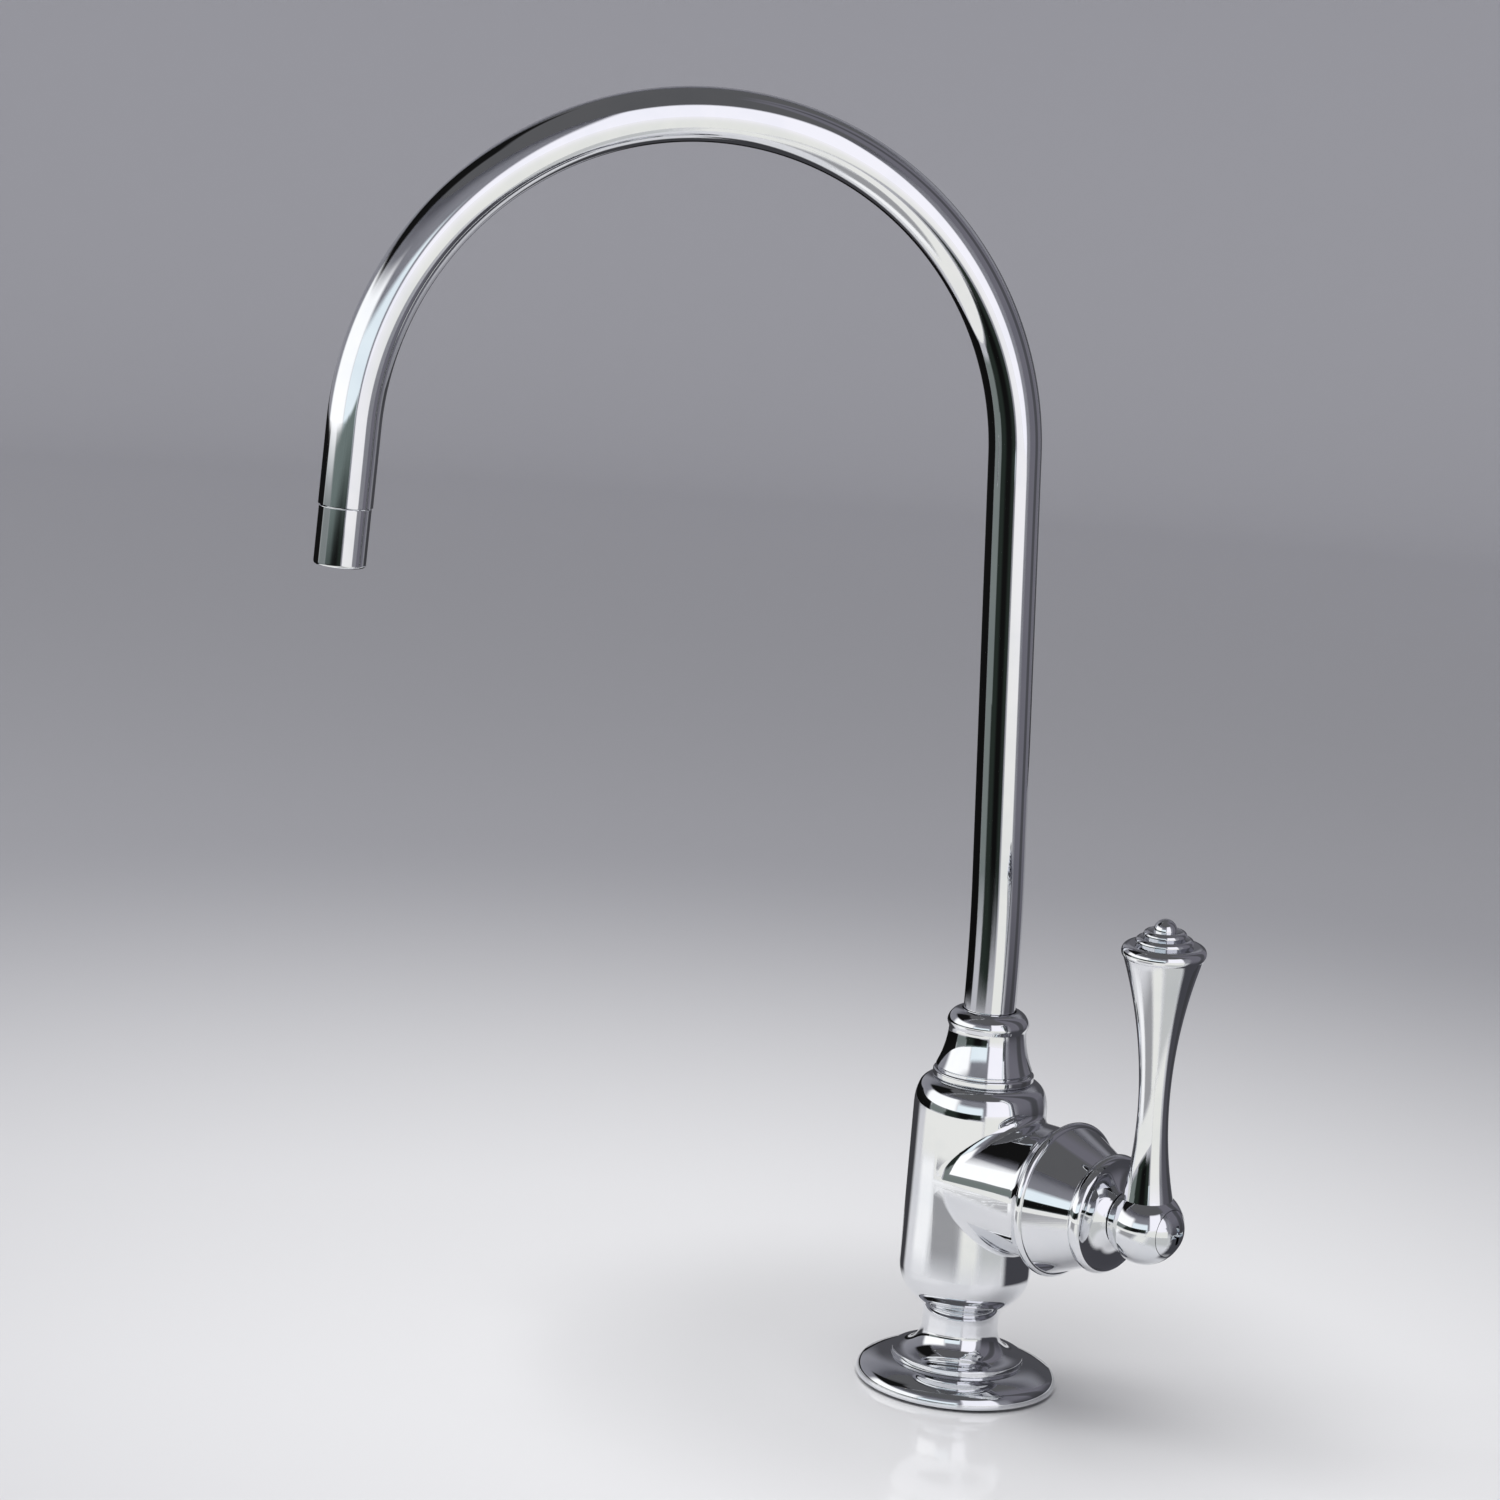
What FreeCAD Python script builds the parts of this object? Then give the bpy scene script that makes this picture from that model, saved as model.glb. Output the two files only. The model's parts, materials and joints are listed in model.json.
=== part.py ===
"""Drinking water faucet: gooseneck spout that swivels on a cast body with a lever valve on a side horn.

Millimetres, +Z up. The origin is on the deck, on the axis of the body. At rest the spout reaches
towards -Y, and the horn leaves the body at horn_azimuth from +X, towards the back.
"""
import FreeCAD, Part
import math
import os
import re

import Sketcher
from FreeCAD import Placement, Rotation, Vector

SIZES = {
    # Foot on the deck
    "gasket_radius": 21.8,
    "gasket_bore_radius": 9.0,
    "gasket_thickness": 0.5,
    "flange_radius": 23.4,
    "flange_under_round": 0.7,
    "flange_brim": 0.1,
    "flange_round": 3,
    "flange_round_angle": 58,
    "flange_dome_radius": 13,
    "flange_step_radius": 15.3,
    "flange_step_foot": 5.8,
    "flange_step_top": 7.3,
    "flange_step_round": 0.5,
    "flange_top": 14,
    "flange_hollow_inner": 10.5,
    "flange_hollow_outer": 19.5,
    "flange_hollow_depth": 2.2,
    "trumpet_radius": 6.4,
    "waist_radius": 8.9,
    "slide_fit": 0.05,
    # Share of a nut's width that its chamfers leave flat, and how far a cut runs past what it cuts
    "nut_face_share": 0.98,
    "cut_overshoot": 0.2,
    # Cast body
    "spigot_radius": 7.5,
    "spigot_foot": 1.9,
    "waist_cove": 5.5,
    "barrel_radius": 15.4,
    "barrel_foot": 28.2,
    "barrel_foot_round": 9.5,
    "barrel_above_horn": 22.3,
    "barrel_top_round": 4.2,
    "collar_thread_radius": 8,
    "collar_thread_length": 4.5,
    "thread_lead": 0.6,
    "horn_height": 51,
    "horn_azimuth": 35,
    "horn_radius": 15.4,
    "horn_reach": 25.6,
    "horn_flare_length": 3.2,
    "horn_flare_rise": 1.5,
    "chamber_depth": 23.6,
    "chamber_radius": 10,
    "horn_thread_radius": 12,
    "horn_thread_depth": 6.6,
    "inlet_radius": 3,
    "inlet_offset": 2.5,
    "plenum_radius": 5.6,
    "plenum_height": 2,
    "outlet_port_radius": 2.1,
    "outlet_port_offset": 2.3,
    # Shank and the stack under the deck
    "shank_radius": 6,
    "shank_bore_radius": 2.6,
    "shank_below": 62,
    "shank_above": 11.5,
    "shank_chamfer": 0.8,
    "deck_grip": 20,
    "washer_clearance": 0.3,
    "rubber_washer_radius": 16,
    "rubber_washer_thickness": 2.5,
    "steel_washer_radius": 15.5,
    "steel_washer_thickness": 1.2,
    "lock_washer_radius": 10.2,
    "lock_washer_thickness": 1.8,
    "lock_washer_slit": 1,
    "mounting_nut_flats": 19,
    "mounting_nut_height": 7,
    "supply_nut_flats": 17,
    "supply_nut_height": 12,
    "supply_nut_web": 1.5,
    "supply_bore_radius": 3.3,
    "supply_bore_depth": 12,
    "ferrule_length": 2.3,
    "ferrule_wall": 1.75,
    "ferrule_taper": 1.5,
    # Spout collar
    "collar_radius": 11.7,
    "collar_ring_height": 1.9,
    "collar_ring_round": 0.5,
    "collar_groove": 0.4,
    "collar_bell_foot_radius": 11.1,
    "collar_bell_top_radius": 8.9,
    "collar_bell_height": 11.8,
    "collar_bell_curve": 24,
    "collar_bead_radius": 9.45,
    "collar_bead_height": 13.3,
    "collar_bead_round": 3.6,
    "collar_height": 16.4,
    "collar_top_radius": 6.9,
    "collar_thread_depth": 9.3,
    "tube_clearance": 0.3,
    # Swivel foot of the spout
    "socket_radius": 6.6,
    "socket_depth": 13.4,
    "foot_clearance": 0.05,
    "foot_end_gap": 0.4,
    "foot_bore_radius": 3,
    "foot_flange_radius": 7.7,
    "foot_flange_height": 3.5,
    "foot_flange_gap": 0.1,
    "foot_seat_depth": 3,
    "lower_ring_height": 2,
    "upper_ring_height": 6.6,
    "ring_groove_width": 1.7,
    "ring_groove_depth": 1.35,
    "ring_cord_radius": 0.6,
    "slip_ring_thickness": 1,
    "slip_ring_gap": 0.1,
    "slip_ring_radius": 7.8,
    # Spout tube
    "tube_radius": 6,
    "tube_wall": 1,
    "bow_above_collar": 2.2,
    "bow_radius": 530,
    "bow_angle": 3.2,
    "upright_length": 128.1,
    "arch_radius": 74.6,
    "arch_sweep": 174.5,
    "leg_length": 18,
    # Outlet
    "tip_radius": 5.75,
    "tip_length": 13.3,
    "tip_seam": 0.4,
    "tip_lip": 0.7,
    "tip_bore_radius": 4.9,
    "tip_bore_depth": 8.2,
    "tip_mouth_radius": 4.4,
    "tip_mouth_length": 0.8,
    "tip_throat_radius": 3.4,
    "tip_spigot_length": 6,
    "tip_spigot_fit": 0.05,
    "tip_groove_start": 2.2,
    "tip_groove_width": 1.3,
    "tip_groove_depth": 0.85,
    "tip_ring_cord_radius": 0.4,
    "straightener_length": 5.5,
    "straightener_hole_radius": 0.8,
    "straightener_ring_radius": 3,
    "straightener_holes": 8,
    "outlet_washer_length": 1.2,
    "outlet_washer_wall": 1.1,
    # Valve cartridge, along the horn
    "seal_length": 2,
    "seal_radius": 7.2,
    "seal_wall": 2,
    "disc_radius": 7.3,
    "disc_thickness": 3,
    "disc_window_inner": 2.6,
    "disc_window_outer": 5.6,
    "disc_window_half_angle": 38,
    "disc_lug_width": 2.4,
    "disc_lug_rise": 0.8,
    "disc_slot_width": 4.2,
    "disc_slot_depth": 1,
    "driver_width": 4,
    "driver_radius": 7.1,
    "driver_thickness": 2.9,
    "driver_foot_gap": 0.1,
    "housing_bore_radius": 7.5,
    "housing_radius": 8.9,
    "housing_seal_radius": 9.95,
    "housing_end_gap": 0.4,
    "housing_shoulder_depth": 11.6,
    "housing_skirt_length": 11,
    "housing_flange_radius": 11.8,
    "housing_nose_radius": 6.2,
    "housing_nose_length": 2,
    "housing_window_width": 8,
    "housing_window_depth": 7.4,
    "housing_window_length": 3,
    "housing_groove_depth_in": 13.2,
    "housing_groove_width": 1.9,
    "housing_groove_depth": 1.4,
    "housing_ring_cord_radius": 0.65,
    "thrust_washer_thickness": 0.5,
    "stem_radius": 4,
    "stem_fit": 0.06,
    "stem_groove_depth_in": 14,
    "stem_groove_width": 1.6,
    "stem_groove_depth": 1.15,
    "stem_ring_cord_radius": 0.5,
    "clip_thickness": 0.7,
    "clip_radius": 6,
    "clip_groove_depth": 0.7,
    "clip_gap": 0.1,
    "clip_opening": 5,
    "stem_square": 5.6,
    "stem_square_reach": 15.4,
    "stem_reach": 25.9,
    "stem_tap_radius": 1.6,
    "stem_tap_depth": 8,
    "lock_nut_flats": 19,
    "lock_nut_hex_length": 3.9,
    "lock_nut_cavity_reach": 0.9,
    "lock_nut_cavity_radius": 6.6,
    "lock_nut_nose_radius": 8,
    "lock_nut_nose_reach": 14.7,
    # Trim pieces on the horn
    "bonnet_back_radius": 17.3,
    "bonnet_seam": 0.4,
    "bonnet_ring_width": 2,
    "bonnet_ring_round": 1.04,
    "bonnet_cone_radius": 17,
    "bonnet_front_radius": 12.6,
    "bonnet_length": 12.1,
    "bonnet_front_wall": 3.2,
    "bonnet_hollow_radius": 13.6,
    "bonnet_hollow_front_radius": 10.5,
    "cap_back_radius": 13,
    "cap_seam": 0.3,
    "cap_radius": 14,
    "cap_disc_length": 3.5,
    "cap_disc_front_radius": 13,
    "cap_edge_round": 2,
    "cap_cove": 6.2,
    "cap_neck_radius": 6.3,
    "cap_length": 5.9,
    "cap_bore_radius": 4.6,
    # Handle
    "handle_rest_angle": 3.2,
    "hub_gap": 0.3,
    "hub_offset": 6.4,
    "hub_radius": 8.75,
    "hub_socket_fit": 0.05,
    "hub_socket_end_gap": 0.4,
    "screw_head_radius": 5.3,
    "screw_head_fit": 0.08,
    "screw_seat_depth": 1.9,
    "screw_dome_rise": 2.2,
    "screw_shank_radius": 1.5,
    "screw_length": 9.5,
    "screw_hole_radius": 1.8,
    "recess_length": 4.4,
    "recess_width": 0.9,
    "recess_depth": 1.8,
    "lever_foot_radius": 5.7,
    "lever_spigot_radius": 2.2,
    "lever_spigot_length": 2.3,
    "lever_waist_radius": 3.5,
    "lever_waist_height": 28,
    "lever_flare_height": 62.4,
    "lever_flare_radius": 8.95,
    "lever_ring_round": 1.75,
    "lever_ring_top": 65.4,
    "lever_ring_top_radius": 7.6,
    "tier_step": 0.6,
    "tier_height": 1.6,
    "tier_round": 1,
    "upper_tier_radius": 6.5,
    "top_tier_radius": 4.85,
    "tier_inset": 1.2,
    "lever_dome_radius": 2.6,
}

document = FreeCAD.newDocument("DrinkingWaterFaucet")
sheet = document.addObject("Spreadsheet::Sheet", "Sizes")
for row, (alias, size) in enumerate(SIZES.items(), start=1):
    sheet.set(f"A{row}", alias)
    sheet.set(f"B{row}", str(size))
    sheet.setAlias(f"B{row}", alias)
document.recompute()

pieces = []
# Smallest volume, in cubic millimetres, that a cut has to take away
LEAST_CUT = 0.001


def bound(formula):
    """Turns a formula in plain size names into one that reads the sheet."""
    return re.sub(r"\b(?!sqrt\b|sin\b|cos\b|tan\b)([a-z]\w+)", r"Sizes.\1", formula)


def worth(formula):
    """Gives the present value of a formula."""
    return float(sheet.evalExpression(bound(formula)))


def new_body(label, place=Placement()):
    """Starts a sub-part with a label and a place of its own."""
    body = document.addObject("PartDesign::Body", label)
    body.Label = label
    body.Placement = place
    pieces.append(body)
    return body


def new_sketch(body, name, plane="XZ_Plane", lift=None):
    """Starts a sketch on one of the body's own planes, lifted along the plane's normal if asked."""
    sketch = body.newObject("Sketcher::SketchObject", f"{body.Name}_{name}")
    support = next(face for face in body.Origin.OriginFeatures if face.Role == plane)
    sketch.AttachmentSupport = [(support, "")]
    sketch.MapMode = "FlatFace"
    if lift:
        sketch.setExpression("AttachmentOffset.Base.z", bound(lift))
    return sketch


def hold(sketch, kind, *entry):
    """Adds a constraint whose last entry is a formula."""
    *where, formula = entry
    index = sketch.addConstraint(Sketcher.Constraint(kind, *where, worth(formula)))
    sketch.setExpression(f"Constraints[{index}]", bound(formula))


def arc_between(start, stop, radius, turn):
    """Gives the arc that leaves start and bends left or right to stop."""
    chord = stop - start
    across = Vector(-chord.y, chord.x, 0).normalize()
    rise = math.sqrt(max(radius ** 2 - (chord.Length / 2) ** 2, 0))
    side = 1 if turn == "left" else -1
    centre = (start + stop) / 2 + across * rise * side
    first, last = (start, stop) if turn == "left" else (stop, start)
    angle_1 = math.atan2(first.y - centre.y, first.x - centre.x)
    angle_2 = math.atan2(last.y - centre.y, last.x - centre.x)
    if angle_2 <= angle_1:
        angle_2 += 2 * math.pi
    return Part.ArcOfCircle(Part.Circle(centre, Vector(0, 0, 1), radius), angle_1, angle_2)


def draw(sketch, corners, closed=True):
    """Draws an outline. A corner is (across, up), or (across, up, radius, turn) where an arc leaves it."""
    places = [Vector(worth(corner[0]), worth(corner[1]), 0) for corner in corners]
    count = len(corners) if closed else len(corners) - 1
    first = sketch.GeometryCount
    ends = []
    for index in range(count):
        start = places[index]
        stop = places[(index + 1) % len(corners)]
        if len(corners[index]) == 2:
            sketch.addGeometry(Part.LineSegment(start, stop), False)
            ends.append((1, 2))
        else:
            radius, turn = corners[index][2:]
            sketch.addGeometry(arc_between(start, stop, worth(radius), turn), False)
            ends.append((1, 2) if turn == "left" else (2, 1))
    for index in range(count if closed else count - 1):
        after = (index + 1) % count
        here, there = first + index, first + after
        joined = Sketcher.Constraint("Coincident", here, ends[index][1], there, ends[after][0])
        sketch.addConstraint(joined)
    for index, corner in enumerate(corners):
        edge, end = (index, 0) if index < count else (index - 1, 1)
        hold(sketch, "DistanceX", -1, 1, first + edge, ends[edge][end], corner[0])
        hold(sketch, "DistanceY", -1, 1, first + edge, ends[edge][end], corner[1])
        if len(corner) > 2:
            hold(sketch, "Radius", first + index, corner[2])
    return sketch


def circle(sketch, across, up, radius):
    """Draws a full circle."""
    centre = Vector(worth(across), worth(up), 0)
    index = sketch.addGeometry(Part.Circle(centre, Vector(0, 0, 1), worth(radius)), False)
    hold(sketch, "DistanceX", -1, 1, index, 3, across)
    hold(sketch, "DistanceY", -1, 1, index, 3, up)
    hold(sketch, "Radius", index, radius)
    return sketch


def box_corners(low_x, high_x, low_y, high_y):
    """Gives the corners of a rectangle."""
    return [(low_x, low_y), (high_x, low_y), (high_x, high_y), (low_x, high_y)]


def slab_corners(half_x, half_y):
    """Gives the corners of a rectangle about the origin."""
    return box_corners(f"-({half_x})", half_x, f"-({half_y})", half_y)


def hex_corners(flats):
    """Gives the corners of a hexagon from its width across flats."""
    return [(f"{flats} / 2 / cos(30) * cos({turn})", f"{flats} / 2 / cos(30) * sin({turn})")
            for turn in range(0, 360, 60)]


def feature(body, kind, name, sketch):
    """Adds a feature that works from a sketch."""
    made = body.newObject(f"PartDesign::{kind}", f"{body.Name}_{name}")
    made.Profile = sketch
    sketch.Visibility = False
    return made


def cut_checked(body, made):
    """Recomputes a cut and makes sure that it took something away."""
    before = made.BaseFeature.Shape.Volume
    document.recompute()
    if made.Shape.Volume > before - LEAST_CUT:
        raise RuntimeError(f"{made.Name} cuts nothing")


def turned(body, corners, name="turning"):
    """Revolves an outline about the upright axis of the body."""
    sketch = draw(new_sketch(body, f"{name}_outline"), corners)
    made = feature(body, "Revolution", name, sketch)
    made.ReferenceAxis = (sketch, ["V_Axis"])
    made.Angle = 360
    document.recompute()


def bored(body, corners, name):
    """Cuts a revolved outline out of the body, about its upright axis."""
    sketch = draw(new_sketch(body, f"{name}_outline"), corners)
    made = feature(body, "Groove", name, sketch)
    made.ReferenceAxis = (sketch, ["V_Axis"])
    made.Angle = 360
    cut_checked(body, made)


def level_axis(sketch, height):
    """Adds a construction line at a height, as the axis of what lies along X."""
    up = worth(height)
    axis = Part.LineSegment(Vector(0, up, 0), Vector(worth("horn_reach"), up, 0))
    index = sketch.addGeometry(axis, True)
    for end, along in ((1, "0 * horn_reach"), (2, "horn_reach")):
        hold(sketch, "DistanceX", -1, 1, index, end, along)
        hold(sketch, "DistanceY", -1, 1, index, end, height)


def along_x(body, kind, corners, name, height):
    """Revolves an outline about the level axis of the horn."""
    sketch = draw(new_sketch(body, f"{name}_outline"), corners)
    level_axis(sketch, height)
    made = feature(body, kind, name, sketch)
    made.ReferenceAxis = (sketch, ["Axis0"])
    made.Angle = 360
    if kind == "Groove":
        cut_checked(body, made)
    else:
        document.recompute()


def raised(body, sketch, length, name):
    """Pads a sketch upwards."""
    made = feature(body, "Pad", name, sketch)
    made.setExpression("Length", bound(length))
    document.recompute()
    return made


def sunk(body, sketch, length, name, upwards=False):
    """Cuts a pocket from a sketch, downwards unless asked otherwise."""
    made = feature(body, "Pocket", name, sketch)
    made.setExpression("Length", bound(length))
    made.Reversed = upwards
    cut_checked(body, made)
    return made


def ring(label, inner, outer, low, high, place=Placement()):
    """Makes a plain ring."""
    body = new_body(label, place)
    turned(body, box_corners(inner, outer, low, high))
    return body


def o_ring(label, middle, cord, height, place=Placement()):
    """Makes an O-ring about the upright axis of its place."""
    torus = document.addObject("Part::Torus", label)
    torus.Label = label
    torus.setExpression("Radius1", bound(middle))
    torus.setExpression("Radius2", bound(cord))
    torus.Placement = place * Placement(Vector(0, 0, worth(height)), Rotation())
    pieces.append(torus)


def hex_nut(label, flats, low, high, bore):
    """Makes a hexagon nut with both faces chamfered."""
    body = new_body(label)
    height = f"({high}) - ({low})"
    raised(body, draw(new_sketch(body, "hexagon", "XY_Plane", low), hex_corners(flats)), height, "prism")
    flat = f"{flats} / 2 * nut_face_share"
    corner = f"{flats} / 2 / cos(30) + cut_overshoot"
    fall = f"(({corner}) - ({flat})) * tan(30)"
    bored(body, [(flat, high), (corner, high), (corner, f"{high} - {fall}")], "top_chamfer")
    bored(body, [(flat, low), (corner, f"{low} + {fall}"), (corner, low)], "foot_chamfer")
    bored(body, box_corners("0", bore, low, high), "bore")
    return body


horn_turn = Rotation(Vector(0, 0, 1), worth("horn_azimuth"))
body_place = Placement(Vector(0, 0, 0), horn_turn)
outwards = horn_turn * Rotation(Vector(0, 1, 0), 90) * Rotation(Vector(0, 0, 1), 180)
horn_place = Placement(Vector(0, 0, worth("horn_height")), outwards)
handle_place = horn_place * Placement(Vector(), Rotation(Vector(0, 0, 1), worth("handle_rest_angle")))
shut_place = handle_place * Placement(Vector(), Rotation(Vector(0, 0, 1), 90))

# Heights that more than one piece works from
barrel_top = "(horn_height + barrel_above_horn)"
collar_thread_top = f"({barrel_top} + collar_thread_length)"
socket_floor = f"({collar_thread_top} - socket_depth)"
collar_top = f"({barrel_top} + collar_height)"
collar_shoulder = f"({barrel_top} + collar_thread_depth)"
lower_ring_groove = f"({socket_floor} + lower_ring_height)"
upper_ring_groove = f"({socket_floor} + upper_ring_height)"
bow_start = f"({collar_top} + bow_above_collar)"
arch_spring = f"({collar_top} + upright_length)"
foot_flange_low = f"({collar_thread_top} + foot_flange_gap)"
foot_flange_top = f"({foot_flange_low} + foot_flange_height)"
foot_seat = f"({foot_flange_top} - foot_seat_depth)"
rubber_washer_low = "(-deck_grip - rubber_washer_thickness)"
steel_washer_low = f"({rubber_washer_low} - steel_washer_thickness)"
lock_washer_low = f"({steel_washer_low} - lock_washer_thickness)"
mounting_nut_low = f"({lock_washer_low} - mounting_nut_height)"

# Stations along the horn, from the barrel's axis outwards
horn_seat = "(horn_reach - horn_thread_depth)"
chamber_floor = "(horn_reach - chamber_depth)"
fixed_disc_low = f"({chamber_floor} + seal_length)"
moving_disc_low = f"({fixed_disc_low} + disc_thickness)"
moving_disc_top = f"({moving_disc_low} + disc_thickness)"
driver_top = f"({moving_disc_top} + driver_foot_gap + driver_thickness)"
housing_flange_top = f"({horn_seat} + housing_nose_length)"
housing_nose_top = f"({housing_flange_top} + housing_nose_length)"
clip_low = f"({housing_nose_top} + clip_gap)"
nose_end = "(horn_reach + lock_nut_nose_reach)"
bonnet_front = "(horn_reach + bonnet_length)"
cap_end = f"({bonnet_front} + cap_length)"
hub_centre = f"({cap_end} + hub_offset)"
stem_square_start = "(horn_reach + stem_square_reach)"
stem_end = "(horn_reach + stem_reach)"


def base_gasket():
    ring("base_gasket", "gasket_bore_radius", "gasket_radius", "0", "gasket_thickness")


def base_flange():
    """Turned foot: bullnose edge, dome, step and trumpet neck, with a hollow underside."""
    bore = "spigot_radius + slide_fit"
    under = "gasket_thickness"
    hollow = "gasket_thickness + flange_hollow_depth"
    brim_foot = "gasket_thickness + flange_under_round"
    brim_top = f"{brim_foot} + flange_brim"
    turned(new_body("base_flange"), [
        (bore, under),
        ("flange_hollow_inner", under),
        ("flange_hollow_inner", hollow),
        ("flange_hollow_outer", hollow),
        ("flange_hollow_outer", under),
        ("flange_radius - flange_under_round", under, "flange_under_round", "left"),
        ("flange_radius", brim_foot),
        ("flange_radius", brim_top, "flange_round", "left"),
        ("flange_radius - flange_round * (1 - cos(flange_round_angle))",
         f"{brim_top} + flange_round * sin(flange_round_angle)", "flange_dome_radius", "left"),
        ("flange_step_radius", "flange_step_foot"),
        ("flange_step_radius", "flange_step_top - flange_step_round", "flange_step_round", "left"),
        ("flange_step_radius - flange_step_round", "flange_step_top"),
        ("waist_radius + trumpet_radius", "flange_step_top", "trumpet_radius", "right"),
        ("waist_radius", "flange_step_top + trumpet_radius"),
        ("waist_radius", "flange_top"),
        (bore, "flange_top"),
    ])


def body_casting():
    """Barrel and horn of one radius, which meet in mitred edges, with the waterways cut inside."""
    body = new_body("body_casting", body_place)
    centre = "(barrel_radius - barrel_foot_round)"
    reach = "(barrel_foot_round + waist_cove)"
    out = f"(waist_radius + waist_cove - {centre})"
    rise = f"sqrt({reach}^2 - {out}^2)"
    share = f"barrel_foot_round / {reach}"
    turned(body, [
        ("0", "spigot_foot"),
        ("spigot_radius", "spigot_foot"),
        ("spigot_radius", "flange_top"),
        ("waist_radius", "flange_top"),
        ("waist_radius", f"barrel_foot - {rise}", "waist_cove", "right"),
        (f"{centre} + {out} * {share}", f"barrel_foot - {rise} * {share}", "barrel_foot_round", "left"),
        ("barrel_radius", "barrel_foot"),
        ("barrel_radius", f"{barrel_top} - barrel_top_round", "barrel_top_round", "left"),
        ("barrel_radius - barrel_top_round", barrel_top),
        ("collar_thread_radius", barrel_top),
        ("collar_thread_radius", f"{collar_thread_top} - thread_lead"),
        ("collar_thread_radius - thread_lead", collar_thread_top),
        ("0", collar_thread_top),
    ], "barrel")
    flare = "(horn_flare_length^2 + horn_flare_rise^2) / (2 * horn_flare_rise)"
    along_x(body, "Revolution", [
        ("0", "horn_height"),
        ("horn_reach", "horn_height"),
        ("horn_reach", "horn_height + horn_radius + horn_flare_rise", flare, "right"),
        ("horn_reach - horn_flare_length", "horn_height + horn_radius"),
        ("0", "horn_height + horn_radius"),
    ], "horn", "horn_height")
    along_x(body, "Groove", [
        ("-inlet_offset", "horn_height"),
        ("horn_reach", "horn_height"),
        ("horn_reach", "horn_height + horn_thread_radius"),
        (horn_seat, "horn_height + horn_thread_radius"),
        (horn_seat, "horn_height + chamber_radius"),
        (chamber_floor, "horn_height + chamber_radius"),
        (chamber_floor, "horn_height + inlet_radius"),
        ("-inlet_offset", "horn_height + inlet_radius"),
    ], "chamber", "horn_height")
    plenum_low = "(shank_above + slide_fit)"
    plenum_top = f"({plenum_low} + plenum_height)"
    bored(body, [
        ("0", "spigot_foot"),
        ("shank_radius + slide_fit", "spigot_foot"),
        ("shank_radius + slide_fit", plenum_low),
        ("plenum_radius", plenum_low),
        ("plenum_radius", plenum_top),
        ("0", plenum_top),
    ], "shank_thread")
    bored(body, box_corners("0", "socket_radius", socket_floor, collar_thread_top), "spout_socket")
    inlet = new_sketch(body, "inlet", "XY_Plane", plenum_low)
    circle(inlet, "-inlet_offset", "0", "inlet_radius")
    sunk(body, inlet, f"horn_height + inlet_radius - {plenum_low}", "inlet_way", upwards=True)
    outlet = new_sketch(body, "outlet", "XY_Plane", socket_floor)
    circle(outlet, f"{chamber_floor} + outlet_port_offset", "0", "outlet_port_radius")
    sunk(body, outlet, f"{socket_floor} - horn_height - chamber_radius / 2", "outlet_way")


def mounting_shank():
    """Hollow threaded tail, its ends chamfered and its foot bored out as a stop for the supply tube."""
    turned(new_body("mounting_shank"), [
        ("shank_bore_radius", "-shank_below + supply_bore_depth"),
        ("supply_bore_radius", "-shank_below + supply_bore_depth"),
        ("supply_bore_radius", "-shank_below"),
        ("shank_radius - shank_chamfer", "-shank_below"),
        ("shank_radius", "-shank_below + shank_chamfer"),
        ("shank_radius", "shank_above - shank_chamfer"),
        ("shank_radius - shank_chamfer", "shank_above"),
        ("shank_bore_radius", "shank_above"),
    ])


def deck_stack():
    """Washers and nut that clamp the deck from below."""
    inner = "shank_radius + washer_clearance"
    ring("deck_rubber_washer", inner, "rubber_washer_radius", rubber_washer_low, "-deck_grip")
    ring("deck_steel_washer", inner, "steel_washer_radius", steel_washer_low, rubber_washer_low)
    washer = ring("lock_washer", inner, "lock_washer_radius", lock_washer_low, steel_washer_low)
    slit = new_sketch(washer, "slit", "XY_Plane", steel_washer_low)
    end = "lock_washer_radius + cut_overshoot"
    draw(slit, box_corners("0", end, "-lock_washer_slit / 2", "lock_washer_slit / 2"))
    sunk(washer, slit, "lock_washer_thickness", "slit_cut")
    hex_nut("mounting_nut", "mounting_nut_flats", mounting_nut_low, lock_washer_low,
            "shank_radius + slide_fit")


def supply_fitting():
    """Compression nut on the foot of the shank, with its ferrule."""
    seat_top = "(-shank_below - slide_fit)"
    seat_low = f"({seat_top} - ferrule_length - slide_fit)"
    low = f"({seat_low} - supply_nut_web)"
    nut = hex_nut("supply_nut", "supply_nut_flats", low, f"{low} + supply_nut_height", "supply_bore_radius")
    mouth = "shank_radius + slide_fit"
    cone = "supply_bore_radius + ferrule_wall + slide_fit"
    bored(nut, [
        ("0", seat_low),
        (f"{cone} - ferrule_taper", seat_low),
        (cone, seat_top),
        (mouth, seat_top),
        (mouth, f"{low} + supply_nut_height"),
        ("0", f"{low} + supply_nut_height"),
    ], "thread")
    ferrule_low = f"({seat_top} - ferrule_length)"
    turned(new_body("supply_ferrule"), [
        ("supply_bore_radius", ferrule_low),
        ("supply_bore_radius + ferrule_wall - ferrule_taper", ferrule_low),
        ("supply_bore_radius + ferrule_wall", seat_top),
        ("supply_bore_radius", seat_top),
    ])


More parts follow.
